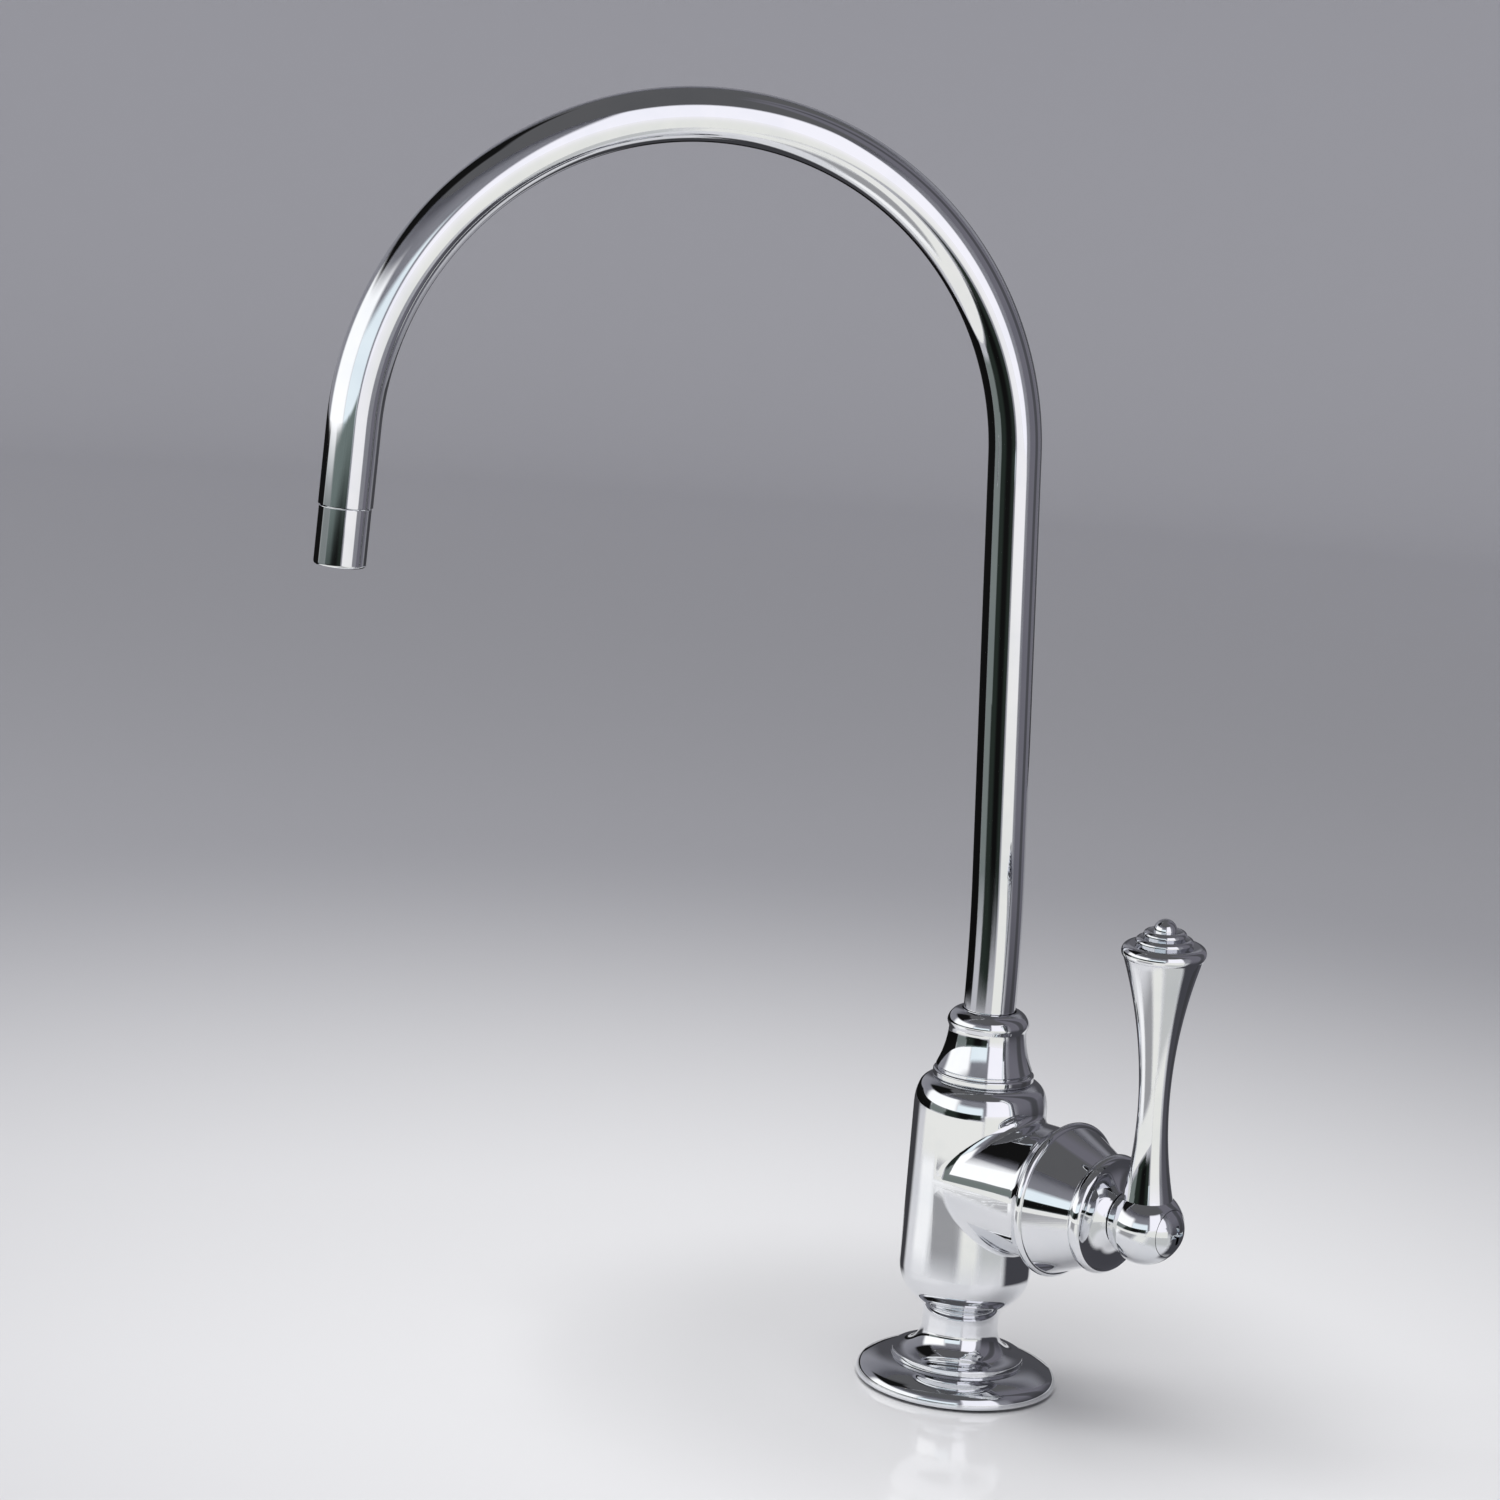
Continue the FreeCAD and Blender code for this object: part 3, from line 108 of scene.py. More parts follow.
class FaucetBodySizes(PropertyGroup):
    """Sizes of the foot and of the cast body."""
    flange_radius: length("Flange radius", "Radius of the foot on the deck", 23.4)
    flange_low: length("Flange underside", "Height of the flange's underside on its soft ring", 0.5)
    flange_under_round: length("Under round", "Round at the foot of the flange's edge", 0.7)
    flange_brim: length("Brim", "Upright part of the flange's edge", 0.1)
    flange_round: length("Edge round", "Round over the flange's edge", 3)
    flange_round_angle: angle("Edge round angle", "How far the edge round turns before the dome", 58)
    flange_dome: length("Dome radius", "Radius of the flange's dome", 13)
    flange_bore: length("Flange bore", "Bore round the body's spigot", 7.55)
    hollow_inner: length("Hollow inside", "Inner radius of the hollow under the flange", 10.5)
    hollow_outer: length("Hollow outside", "Outer radius of the hollow under the flange", 19.5)
    hollow_depth: length("Hollow depth", "Depth of the hollow under the flange", 2.2)
    step_radius: length("Step radius", "Radius of the step on the flange", 15.3)
    step_foot: length("Step foot", "Height where the dome meets the step", 5.8)
    step_foot_round: length("Step foot round", "Round where the dome meets the step", 0.25)
    step_top: length("Step top", "Height of the step", 7.3)
    step_round: length("Step round", "Round over the step", 0.5)
    trumpet: length("Trumpet", "Radius of the cove between the step and the waist", 6.4)
    flange_top: length("Flange top", "Height of the joint between the flange and the body", 14)
    waist_radius: length("Waist radius", "Radius of the narrow waist", 8.9)
    waist_cove: length("Waist cove", "Radius of the cove above the waist", 5.5)
    foot_round: length("Barrel foot round", "Round at the foot of the barrel", 9.5)
    barrel_radius: length("Barrel radius", "Radius of the barrel and of the horn", 15.4)
    barrel_foot: length("Barrel foot", "Height where the barrel's wall starts", 28.2)
    barrel_top: length("Barrel top", "Height of the barrel's top", 73.3)
    barrel_top_round: length("Barrel top round", "Round over the barrel's top", 3.8)
    barrel_crown: length("Barrel crown", "Radius of the slight crown that leads up to that round", 12)
    crown_start: length("Crown start", "Height above the horn where that crown starts", 0.1)
    neck_radius: length("Neck radius", "Radius of the threaded neck inside the collar", 8)
    neck_top: length("Neck top", "Height of the threaded neck", 77.8)
    neck_lead: length("Neck lead", "Chamfer at the top of the threaded neck", 0.6)
    socket_radius: length("Socket radius", "Radius of the socket that the spout turns in", 6.6)
    socket_floor: length("Socket floor", "Height of the socket's floor", 64.4)
    spigot_radius: length("Spigot radius", "Radius of the spigot in the flange", 7.5)
    spigot_foot: length("Spigot foot", "Height of the spigot's foot", 1.9)
    shank_socket: length("Shank socket", "Radius of the threaded socket for the tail", 6.05)
    shank_socket_top: length("Shank socket top", "Height of the end of that socket", 13.55)
    horn_height: length("Horn height", "Height of the horn's axis", 51)
    horn_azimuth: angle("Horn azimuth", "Direction of the horn from +X towards +Y", 35)
    horn_wall_end: length("Horn wall end", "Station where the horn starts to flare", 22.4)
    horn_reach: length("Horn reach", "Station of the horn's end face", 25.6)
    horn_rim: length("Horn rim", "Radius of the horn's flared rim", 16.9)
    horn_rim_round: length("Horn rim round", "Round of that rim", 0.2)
    horn_flare: length("Horn flare", "Radius of the flare", 4.163)
    horn_thread: length("Horn thread", "Radius of the thread in the horn", 12)
    horn_seat: length("Horn seat", "Station of the shoulder in the horn", 19)
    chamber_radius: length("Chamber radius", "Radius of the valve chamber", 10)
    chamber_floor: length("Chamber floor", "Station of the chamber's floor", 2)
    tee_fillet: length("Tee fillet", "Width of the fillet where the horn meets the barrel", 1.5)


class FaucetSpoutSizes(PropertyGroup):
    """Sizes of the collar, the gooseneck tube and the outlet."""
    collar_radius: length("Collar radius", "Radius of the ring at the collar's foot", 11.7)
    collar_ring: length("Collar ring", "Height of that ring", 1.9)
    collar_ring_round: length("Ring round", "Rounds of the ring's edges", 0.5)
    collar_groove: length("Collar groove", "Depth of the grooves between the collar's forms", 0.4)
    bell_foot: length("Bell foot", "Radius at the foot of the collar's bell", 11.1)
    bell_top: length("Bell top", "Radius at the top of the collar's bell", 8.9)
    bell_height: length("Bell height", "Height of the bell's top above the barrel", 11.8)
    bell_curve: length("Bell curve", "Radius of the bell's hollow side", 24)
    bead_radius: length("Bead radius", "Radius of the bead round the tube", 9.45)
    bead_height: length("Bead height", "Height of the bead's widest place above the barrel", 13.3)
    bead_round: length("Bead round", "Radius of the bead's section", 3.6)
    collar_height: length("Collar height", "Height of the collar above the barrel", 16.4)
    collar_mouth: length("Collar mouth", "Radius of the flat at the collar's top", 6.9)
    collar_throat: length("Collar throat", "Radius of the hole round the tube", 6.3)
    collar_bore: length("Collar bore", "Radius of the threaded bore", 8.05)
    collar_shoulder: length("Collar shoulder", "Depth of the threaded bore", 9.3)
    tube_radius: length("Tube radius", "Outer radius of the gooseneck tube", 6)
    tube_wall: length("Tube wall", "Wall of the gooseneck tube", 1)
    tube_foot: length("Tube foot", "Height of the tube's lower end, inside the collar", 78.4)
    bow_start: length("Bow start", "Height where the slight bow starts", 91.9)
    bow_radius: length("Bow radius", "Radius of the slight bow", 530)
    bow_angle: angle("Bow angle", "Lean of the upright after the bow", 3.2)
    arch_spring: length("Arch spring", "Height where the arch starts", 217.8)
    arch_radius: length("Arch radius", "Radius of the arch's centre line", 74.6)
    arch_sweep: angle("Arch sweep", "How far the arch turns", 174.5)
    leg_length: length("Leg length", "Straight part after the arch", 18)
    tip_radius: length("Tip radius", "Radius of the sleeve at the outlet", 5.75)
    tip_length: length("Tip length", "Length of the sleeve that shows", 13.3)
    tip_seam: length("Tip seam", "Chamfer where the sleeve meets the tube", 0.4)
    tip_seam_round: length("Tip seam round", "Round of that chamfer's edge", 0.1)
    tip_lip: length("Tip lip", "Round of the outlet's edge", 0.7)
    tip_mouth: length("Tip mouth", "Radius of the outlet's mouth", 4.4)
    tip_mouth_length: length("Mouth length", "Length of the mouth", 0.8)
    tip_bore: length("Tip bore", "Radius of the bore for the straightener", 4.9)
    tip_bore_depth: length("Tip bore depth", "Depth of that bore", 8.2)
    tip_throat: length("Tip throat", "Radius of the waterway", 3.4)
    tip_spigot: length("Tip spigot", "Radius of the spigot in the tube", 4.95)
    tip_spigot_length: length("Spigot length", "Length of the spigot", 6)
    tip_groove: length("Seal groove", "Depth of the groove for the seal", 0.85)
    tip_groove_start: length("Groove start", "Distance from the tube's end to the groove", 2.2)
    tip_groove_width: length("Groove width", "Width of the groove", 1.3)


class FaucetHandleSizes(PropertyGroup):
    """Sizes of the trim on the horn and of the handle."""
    trim_bore: length("Trim bore", "Bore round the lock nut's nose", 8.05)
    trim_round: length("Trim round", "Round at the front of the bonnet and of the cap", 0.2)
    bonnet_radius: length("Bonnet radius", "Radius of the bonnet's ring", 17.3)
    bonnet_seam: length("Bonnet seam", "Width of the seam against the horn", 0.4)
    bonnet_ring: length("Bonnet ring", "Width of the bonnet's ring", 2)
    bonnet_ring_round: length("Bonnet ring round", "Radius of the ring's rounded side", 1.04)
    bonnet_cone: length("Bonnet cone", "Radius at the wide end of the cone", 17)
    bonnet_front: length("Bonnet front", "Radius at the narrow end of the cone", 12.6)
    bonnet_length: length("Bonnet length", "Length of the bonnet", 12.1)
    bonnet_wall: length("Bonnet front wall", "Wall at the bonnet's narrow end", 3.2)
    bonnet_hollow: length("Bonnet hollow", "Radius of the hollow at the wide end", 13.6)
    bonnet_hollow_front: length("Bonnet hollow end", "Radius of the hollow at the narrow end", 10.5)
    cap_back: length("Cap back", "Radius of the cap's back edge", 13)
    cap_seam: length("Cap seam", "Width of the seam against the bonnet", 0.3)
    cap_disc: length("Cap disc", "Length of the cap's rounded disc", 3.5)
    cap_front: length("Cap front", "Radius at the front of the disc", 13)
    cap_edge: length("Cap edge", "Radius of the disc's rounded edge", 2)
    cap_cove: length("Cap cove", "Radius of the cove down to the neck", 6.2)
    cap_neck: length("Cap neck", "Radius of the cap's neck", 6.3)
    cap_length: length("Cap length", "Length of the cap", 5.9)
    cap_bore: length("Cap bore", "Bore round the stem", 4.6)
    cap_nose: length("Cap nose", "Station of the shoulder inside the cap", 40.35)
    hub_radius: length("Hub radius", "Radius of the ball", 8.75)
    hub_gap: length("Hub gap", "Gap between the cap and the ball", 0.3)
    hub_offset: length("Hub offset", "Distance from the cap's end to the ball's centre", 6.4)
    socket_half: length("Square socket", "Half the width of the ball's square socket", 2.85)
    socket_end: length("Socket end", "Station of the socket's end", 51.9)
    screw_head: length("Screw head", "Radius of the screw's head", 5.3)
    screw_fit: length("Screw fit", "Gap round the screw's head", 0.08)
    screw_seat: length("Screw seat", "Depth of the screw's seat", 1.9)
    screw_seat_round: length("Screw seat round", "Round at the rim of that seat", 0.12)
    screw_dome: length("Screw dome", "Rise of the screw's dome", 2.2)
    screw_shank: length("Screw shank", "Radius of the screw's shank", 1.5)
    screw_length: length("Screw length", "Length of the screw's shank", 9.5)
    recess_half: length("Recess length", "Half the length of the cross recess", 2.2)
    recess_width: length("Recess width", "Half the width of the recess's arms", 0.45)
    recess_depth: length("Recess depth", "Depth of the cross recess", 1.8)
    rest_angle: angle("Rest angle", "Lean of the lever at rest", 3.2)
    lever_foot: length("Lever foot", "Radius of the lever's foot", 5.7)
    lever_spigot: length("Lever spigot", "Radius of the spigot in the ball", 2.2)
    lever_spigot_length: length("Lever spigot length", "Length of that spigot", 2.3)
    lever_waist: length("Lever waist", "Radius of the lever's waist", 3.5)
    lever_waist_height: length("Waist height", "Height of the waist above the ball's centre", 28)
    lever_flare: length("Lever flare", "Radius of the lever's wide end", 8.95)
    lever_flare_height: length("Flare height", "Height of the wide end", 62.4)
    lever_ring_round: length("Lever ring round", "Radius of the rounded lowest tier", 1.75)
    lever_ring_top: length("Ring top", "Height of the lowest tier's top", 65.4)
    lever_ring_mouth: length("Ring mouth", "Radius of the lowest tier's top", 7.6)
    tier_step: length("Tier step", "Undercut below each tier", 0.6)
    tier_height: length("Tier height", "Height of each tier", 1.6)
    tier_round: length("Tier round", "Radius of each tier's edge", 1)
    tier_inset: length("Tier inset", "How far each tier's top is set in", 1.2)
    upper_tier: length("Upper tier", "Radius of the middle tier", 6.5)
    top_tier: length("Top tier", "Radius of the highest tier", 4.85)
    lever_dome: length("Lever dome", "Radius of the button on top", 2.6)


class FaucetTailSizes(PropertyGroup):
    """Sizes of the threaded tail under the deck."""
    tail_radius: length("Tail radius", "Outer radius of the tail's thread", 6)
    tail_foot: length("Tail foot", "Height of the tail's lower end", -62)
    tail_top: length("Tail top", "Height of the tail's upper end, in the body", 11.5)
    tail_chamfer: length("Tail chamfer", "Lead at both ends of the thread", 0.8)
    tail_bore: length("Tail bore", "Radius of the waterway", 2.6)
    inlet_bore: length("Inlet bore", "Radius of the seat for the supply tube", 3.3)
    inlet_depth: length("Inlet depth", "Depth of that seat", 12)
    thread_pitch: length("Thread pitch", "Pitch of the tail's thread", 1.25)
    thread_depth: length("Thread depth", "Depth of the tail's thread", 0.7)


class FaucetFinishes(PropertyGroup):
    """Colours of the finishes."""
    chrome: colour("Chrome", "Colour of the polished chrome", (0.80, 0.81, 0.83))
    chrome_shade: colour("Chrome shade", "Colour of the chrome hazed by handling", (0.74, 0.76, 0.79))
    brass: colour("Brass", "Colour of the machined brass", (0.78, 0.60, 0.31))
    brass_shade: colour("Brass shade", "Colour of the dulled brass", (0.60, 0.43, 0.20))
    steel: colour("Steel", "Colour of the zinc plating", (0.66, 0.67, 0.68))
    steel_shade: colour("Steel shade", "Colour of the plating's darker crystals", (0.52, 0.53, 0.56))
    rubber: colour("Rubber", "Colour of the black rubber", (0.035, 0.035, 0.038))
    rubber_shade: colour("Rubber bloom", "Colour of the rubber's pale bloom", (0.075, 0.075, 0.08))
    ceramic: colour("Ceramic", "Colour of the lapped ceramic", (0.88, 0.87, 0.83))
    ceramic_shade: colour("Ceramic shade", "Colour of the ceramic's mottling", (0.80, 0.78, 0.73))
    nylon: colour("Nylon", "Colour of the natural nylon", (0.84, 0.83, 0.78))
    nylon_shade: colour("Nylon shade", "Colour of the nylon's mottling", (0.77, 0.75, 0.69))
    # floor and floor_far paint a fall-off of light: pale by the foot, grey away from it
    floor: colour("Floor", "Colour of the floor by the foot", (0.80, 0.80, 0.81))
    floor_far: colour("Far floor", "Colour of the floor away from the foot", (0.36, 0.36, 0.385))
    backdrop: colour("Backdrop", "Colour of the backdrop that the floor runs up into", (0.62, 0.62, 0.66))


class FaucetStageSettings(PropertyGroup):
    """Surround and camera of the stage."""
    surround: colour("Surround", "Colour of the faint light from all round", (0.115, 0.115, 0.12))
    camera_place: FloatVectorProperty(name="Camera place", description="Where the camera stands",
                                      default=(0.8741, -0.2652, 0.3121), subtype="TRANSLATION", unit="LENGTH")
    camera_heading: turn("Camera heading", "Turn of the camera about the upright", 1.3419)
    camera_tilt: turn("Camera tilt", "How far the camera looks down", 0.1807)
    camera_roll: turn("Camera roll", "How far the camera is rolled", 0.0821)
    camera_lens: FloatProperty(name="Lens", description="Focal length for a 36 mm sensor", default=97.45,
                               subtype="DISTANCE_CAMERA", unit="CAMERA")


# Shaping

def only(kind, parts):
    """Gives the parts of one kind."""
    return [part for part in parts if isinstance(part, kind)]


def everything(shape):
    """Gives all the parts of a shape."""
    return shape.verts[:] + shape.edges[:] + shape.faces[:]


def parts_of(faces):
    """Gives faces with their edges and corners."""
    return [*faces, *{part for face in faces for part in (*face.edges, *face.verts)}]


def spin_up(shape, turned, steps, **settings):
    """Spins all of a shape about the Z axis."""
    bmesh.ops.spin(shape, geom=everything(shape), cent=(0, 0, 0), axis=UP, angle=turned, steps=steps,
                   **settings)


def arc_between(start, stop, radius, way):
    """Gives the centre and the signed angle of the arc that bends left or right from start to stop."""
    chord = stop - start
    across = Vector((-chord.z, 0, chord.x)).normalized()
    rise = math.sqrt(max(radius ** 2 - chord.length_squared / 4, 0))
    side = 1 if way == "left" else -1
    sweep = 2 * math.asin(min(chord.length / 2 / radius, 1)) * side
    return (start + stop) / 2 + across * rise * side, sweep


def trace(shape, corners):
    """Draws an outline in the XZ plane. A corner is (across, up), (across, up, round) for a rounded corner,
    or (across, up, radius, way) where an arc that bends left or right leaves it."""
    pen = shape.verts.new((corners[0][0], 0, corners[0][1]))
    rounded = {}
    for here, there in zip(corners, corners[1:]):
        goal = Vector((there[0], 0, there[1]))
        if len(here) == 3:
            rounded.setdefault(here[2], []).append(pen)
        if len(here) < 4:
            pen = bmesh.ops.extrude_vert_indiv(shape, verts=[pen])["verts"][0]
        else:
            centre, sweep = arc_between(pen.co.copy(), goal, *here[2:])
            steps = max(math.ceil(abs(sweep) / ARC_STEP), math.ceil(abs(sweep) * here[2] / RUN_STEP), 2)
            made = bmesh.ops.spin(shape, geom=[pen], cent=centre, axis=(0, -1, 0), angle=sweep, steps=steps)
            pen = made["geom_last"][0]
        pen.co = goal
    for offset, ends in rounded.items():
        bmesh.ops.bevel(shape, geom=ends, offset=offset, offset_type="OFFSET", segments=CORNER_STEPS,
                        profile=0.5, affect="VERTICES", material=-1, clamp_overlap=True)


def weld(shape):
    """Merges what coincides and turns the faces outwards."""
    bmesh.ops.remove_doubles(shape, verts=shape.verts[:], dist=WELD)
    bmesh.ops.recalc_face_normals(shape, faces=shape.faces[:])


def lathe(corners, steps=ROUND_STEPS, place=None):
    """Turns an outline about the Z axis into a shape, and puts it in its place."""
    shape = bmesh.new()
    trace(shape, corners)
    spin_up(shape, FULL_TURN, steps, use_merge=True)
    weld(shape)
    if place:
        shape.transform(place)
    return shape


def closed_ring(corners):
    """Gives an outline that ends where it starts."""
    return [*corners, corners[0][:2]]


def mesh_of(shape, name):
    """Turns a shape into a mesh."""
    mesh = bpy.data.meshes.new(name)
    shape.to_mesh(mesh)
    shape.free()
    return mesh


def absorb(shape, other):
    """Moves all of another shape into a shape."""
    spare = mesh_of(other, "spare")
    shape.from_mesh(spare)
    bpy.data.meshes.remove(spare)


def add_object(name, data):
    """Adds an object to the scene."""
    thing = bpy.data.objects.new(name, data)
    bpy.context.scene.collection.objects.link(thing)
    return thing


def put(shape, name, body, node, slot="chrome", finish=None):
    """Makes a finished piece of a shape: smooth, with its finish, riding on its body in place of its node."""
    open_edges = [edge for edge in shape.edges if not edge.is_manifold]
    if open_edges:
        raise RuntimeError(f"{name} is open at {len(open_edges)} edges")
    bmesh.ops.recalc_face_normals(shape, faces=shape.faces[:])
    for face in shape.faces:
        face.smooth = True
    for edge in shape.edges:
        edge.smooth = edge.calc_face_angle() < SHARP_ANGLE
    piece = add_object(name, mesh_of(shape, name))
    piece.data.materials.append(finish_of(finish or slot))
    weights = piece.modifiers.new("Face weights", "WEIGHTED_NORMAL")
    weights.keep_sharp = True
    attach(piece, body)
    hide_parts(node)


def horn_place(size, azimuth):
    """Gives the place whose Z runs out along a horn at this azimuth, and whose X is up."""
    turned = Matrix.Rotation(azimuth, 4, "Z") @ Matrix.Rotation(QUARTER_TURN, 4, "Y")
    return Matrix.Translation((0, 0, size.horn_height)) @ turned @ Matrix.Rotation(HALF_TURN, 4, "Z")


# Finishes

class NodeBench:
    """Adds and links the nodes of one material."""

    def __init__(self, name):
        self.material = bpy.data.materials.new(name)
        self.material.use_nodes = True
        self.tree = self.material.node_tree
        self.shader = self.tree.nodes["Principled BSDF"]

    def add(self, kind, settings=None, **inputs):
        """Adds a node. Settings are the node's own, and inputs are values or sockets to link."""
        node = self.tree.nodes.new(kind)
        for key, value in (settings or {}).items():
            setattr(node, key, value)
        for key, value in inputs.items():
            self.feed(node, key.replace("_", " "), value)
        return node

    def feed(self, node, key, value):
        """Sets or links one input."""
        socket = node.inputs[key]
        if isinstance(value, bpy.types.NodeSocket):
            self.tree.links.new(value, socket)
        else:
            socket.default_value = value

    def place(self, stretch=(1, 1, 1)):
        """Gives the object's own coordinates, stretched if asked."""
        where = self.add("ShaderNodeTexCoord").outputs["Object"]
        return self.add("ShaderNodeMapping", Vector=where, Scale=stretch).outputs["Vector"]

    def grain(self, scale, detail=2.0, roughness=0.5, stretch=(1, 1, 1)):
        """Gives a soft noise between 0 and 1."""
        return self.add("ShaderNodeTexNoise", Vector=self.place(stretch), Scale=scale, Detail=detail,
                        Roughness=roughness).outputs["Fac"]

    def between(self, pattern, least, most, low=0.3, high=0.7):
        """Gives the least value where a pattern is low and the most where it is high."""
        return self.add("ShaderNodeMapRange", Value=pattern, From_Min=low, From_Max=high, To_Min=least,
                        To_Max=most).outputs["Result"]

    def share(self, pattern, low=0.3, high=0.7):
        """Gives 0 where a pattern is low and 1 where it is high."""
        return self.between(pattern, 0.0, 1.0, low, high)

    def ramp(self, value, low, high, top=1.0):
        """Rises softly from 0 at one value to the top at another."""
        return self.add("ShaderNodeMapRange", {"interpolation_type": "SMOOTHSTEP"}, Value=value, From_Min=low,
                        From_Max=high, To_Max=top).outputs["Result"]

    def window(self, value, low, high, soft_low, soft_high, top=1.0):
        """Gives the top between two values and 0 outside them, with soft edges inside them."""
        return self.ramp(value, high, high - soft_high, self.ramp(value, low, low + soft_low, top))

    def tint(self, share, first, second):
        """Blends two colours, given as values or sockets."""
        mix = self.add("ShaderNodeMix", {"data_type": "RGBA"}, Factor=share)
        sockets = {socket.identifier: socket for socket in mix.inputs}
        for name, shade in (("A_Color", first), ("B_Color", second)):
            if isinstance(shade, bpy.types.NodeSocket):
                self.tree.links.new(shade, sockets[name])
            else:
                sockets[name].default_value = (*shade, 1)
        return next(socket for socket in mix.outputs if socket.identifier == "Result_Color")

    def relief(self, height, depth):
        """Gives the normal of a fine relief with a depth in metres."""
        return self.add("ShaderNodeBump", Height=height, Distance=depth, Strength=1.0).outputs["Normal"]

    def finish(self, **inputs):
        """Feeds the shader and gives the material."""
        for key, value in inputs.items():
            self.feed(self.shader, key.replace("_", " "), value)
        return self.material


def chrome_finish(colours, name="Polished Chrome", wave_scale=120.0, wave_depth=0.004):
    """Polished chrome: a mirror with a faint haze of handling and the slight waves of hand polishing."""
    bench = NodeBench(name)
    haze = bench.grain(scale=70.0, detail=4.0, roughness=0.6)
    waves = bench.grain(scale=wave_scale, detail=1.0)
    return bench.finish(
        Base_Color=bench.tint(bench.share(haze, low=0.45, high=0.75), colours.chrome, colours.chrome_shade),
        Roughness=bench.between(haze, 0.015, 0.05, low=0.35, high=0.8),
        Metallic=1.0,
        Normal=bench.relief(waves, wave_depth * MM),
    )


def cast_chrome_finish(colours):
    """Chrome on the casting, whose hand-polished sides have longer and deeper waves."""
    return chrome_finish(colours, "Polished Cast Chrome", wave_scale=60.0, wave_depth=0.14)


def brass_finish(colours):
    """Machined brass: fine tool marks and a dulled bloom."""
    bench = NodeBench("Machined Brass")
    bloom = bench.grain(scale=90.0, detail=5.0, roughness=0.6)
    marks = bench.grain(scale=1400.0, stretch=(0.15, 0.15, 1))
    return bench.finish(
        Base_Color=bench.tint(bench.share(bloom), colours.brass, colours.brass_shade),
        Roughness=bench.between(marks, 0.2, 0.38),
        Metallic=1.0,
        Normal=bench.relief(marks, 0.01 * MM),
    )


def steel_finish(colours):
    """Zinc plated steel: small crystals under a soft shine."""
    bench = NodeBench("Zinc Plated Steel")
    crystals = bench.add("ShaderNodeTexVoronoi", Vector=bench.place(), Scale=900.0).outputs["Color"]
    flecks = bench.add("ShaderNodeSeparateColor", Color=crystals).outputs["Red"]
    return bench.finish(
        Base_Color=bench.tint(flecks, colours.steel, colours.steel_shade),
        Roughness=bench.between(flecks, 0.26, 0.42, low=0.0, high=1.0),
        Metallic=1.0,
        Normal=bench.relief(bench.grain(scale=700.0), 0.012 * MM),
    )


def rubber_finish(colours):
    """Black rubber: matt, with a pale bloom in places."""
    bench = NodeBench("Black Rubber")
    bloom = bench.grain(scale=160.0, detail=5.0, roughness=0.65)
    return bench.finish(
        Base_Color=bench.tint(bench.share(bloom, low=0.4, high=0.8), colours.rubber, colours.rubber_shade),
        Roughness=bench.between(bloom, 0.55, 0.8),
        Normal=bench.relief(bench.grain(scale=1800.0, detail=3.0), 0.03 * MM),
    )


def ceramic_finish(colours):
    """Lapped ceramic: pale, hard and faintly mottled."""
    bench = NodeBench("Lapped Ceramic")
    mottle = bench.grain(scale=600.0, detail=4.0, roughness=0.6)
    return bench.finish(
        Base_Color=bench.tint(bench.share(mottle), colours.ceramic, colours.ceramic_shade),
        Roughness=bench.between(mottle, 0.08, 0.2),
        Coat_Weight=0.3,
        Normal=bench.relief(mottle, 0.002 * MM),
    )


def nylon_finish(colours):
    """Natural nylon: waxy and a little see-through at its edges."""
    bench = NodeBench("Natural Nylon")
    mottle = bench.grain(scale=260.0, detail=3.0, roughness=0.55)
    return bench.finish(
        Base_Color=bench.tint(bench.share(mottle), colours.nylon, colours.nylon_shade),
        Roughness=bench.between(mottle, 0.32, 0.5),
        Subsurface_Weight=0.15,
        Subsurface_Scale=0.8 * MM,
        Normal=bench.relief(bench.grain(scale=1200.0), 0.008 * MM),
    )


FINISH_MAKERS = {
    "chrome": chrome_finish,
    "cast_chrome": cast_chrome_finish,
    "brass": brass_finish,
    "steel": steel_finish,
    "rubber": rubber_finish,
    "ceramic": ceramic_finish,
    "nylon": nylon_finish,
}
finishes = {}


def finish_of(slot):
    """Gives the finish of a material slot, made once."""
    if slot not in finishes:
        finishes[slot] = FINISH_MAKERS[slot](bpy.context.scene.faucet_finishes)
    return finishes[slot]


class FAUCET_OT_foot(Operator):
    """Turned foot on the deck: bullnose edge, dome, step and trumpet neck"""
    bl_idname = "faucet.foot"
    bl_label = "Foot"

    def execute(self, context):
        size = context.scene.faucet_body
        brim_foot = size.flange_low + size.flange_under_round
        brim_top = brim_foot + size.flange_brim
        round_in = size.flange_round * (1 - math.cos(size.flange_round_angle))
        round_up = size.flange_round * math.sin(size.flange_round_angle)
        hollow = size.flange_low + size.hollow_depth
        shape = lathe(closed_ring([
            (size.flange_bore, size.flange_low),
            (size.hollow_inner, size.flange_low),
            (size.hollow_inner, hollow),
            (size.hollow_outer, hollow),
            (size.hollow_outer, size.flange_low),
            (size.flange_radius - size.flange_under_round, size.flange_low, size.flange_under_round, "left"),
            (size.flange_radius, brim_foot),
            (size.flange_radius, brim_top, size.flange_round, "left"),
            (size.flange_radius - round_in, brim_top + round_up, size.flange_dome, "left"),
            (size.step_radius, size.step_foot, size.step_foot_round),
            (size.step_radius, size.step_top - size.step_round, size.step_round, "left"),
            (size.step_radius - size.step_round, size.step_top),
            (size.waist_radius + size.trumpet, size.step_top, size.trumpet, "right"),
            (size.waist_radius, size.step_top + size.trumpet),
            (size.waist_radius, size.flange_top),
            (size.flange_bore, size.flange_top),
        ]))
        put(shape, "turned_foot", "standing", "base_flange")
        return {"FINISHED"}


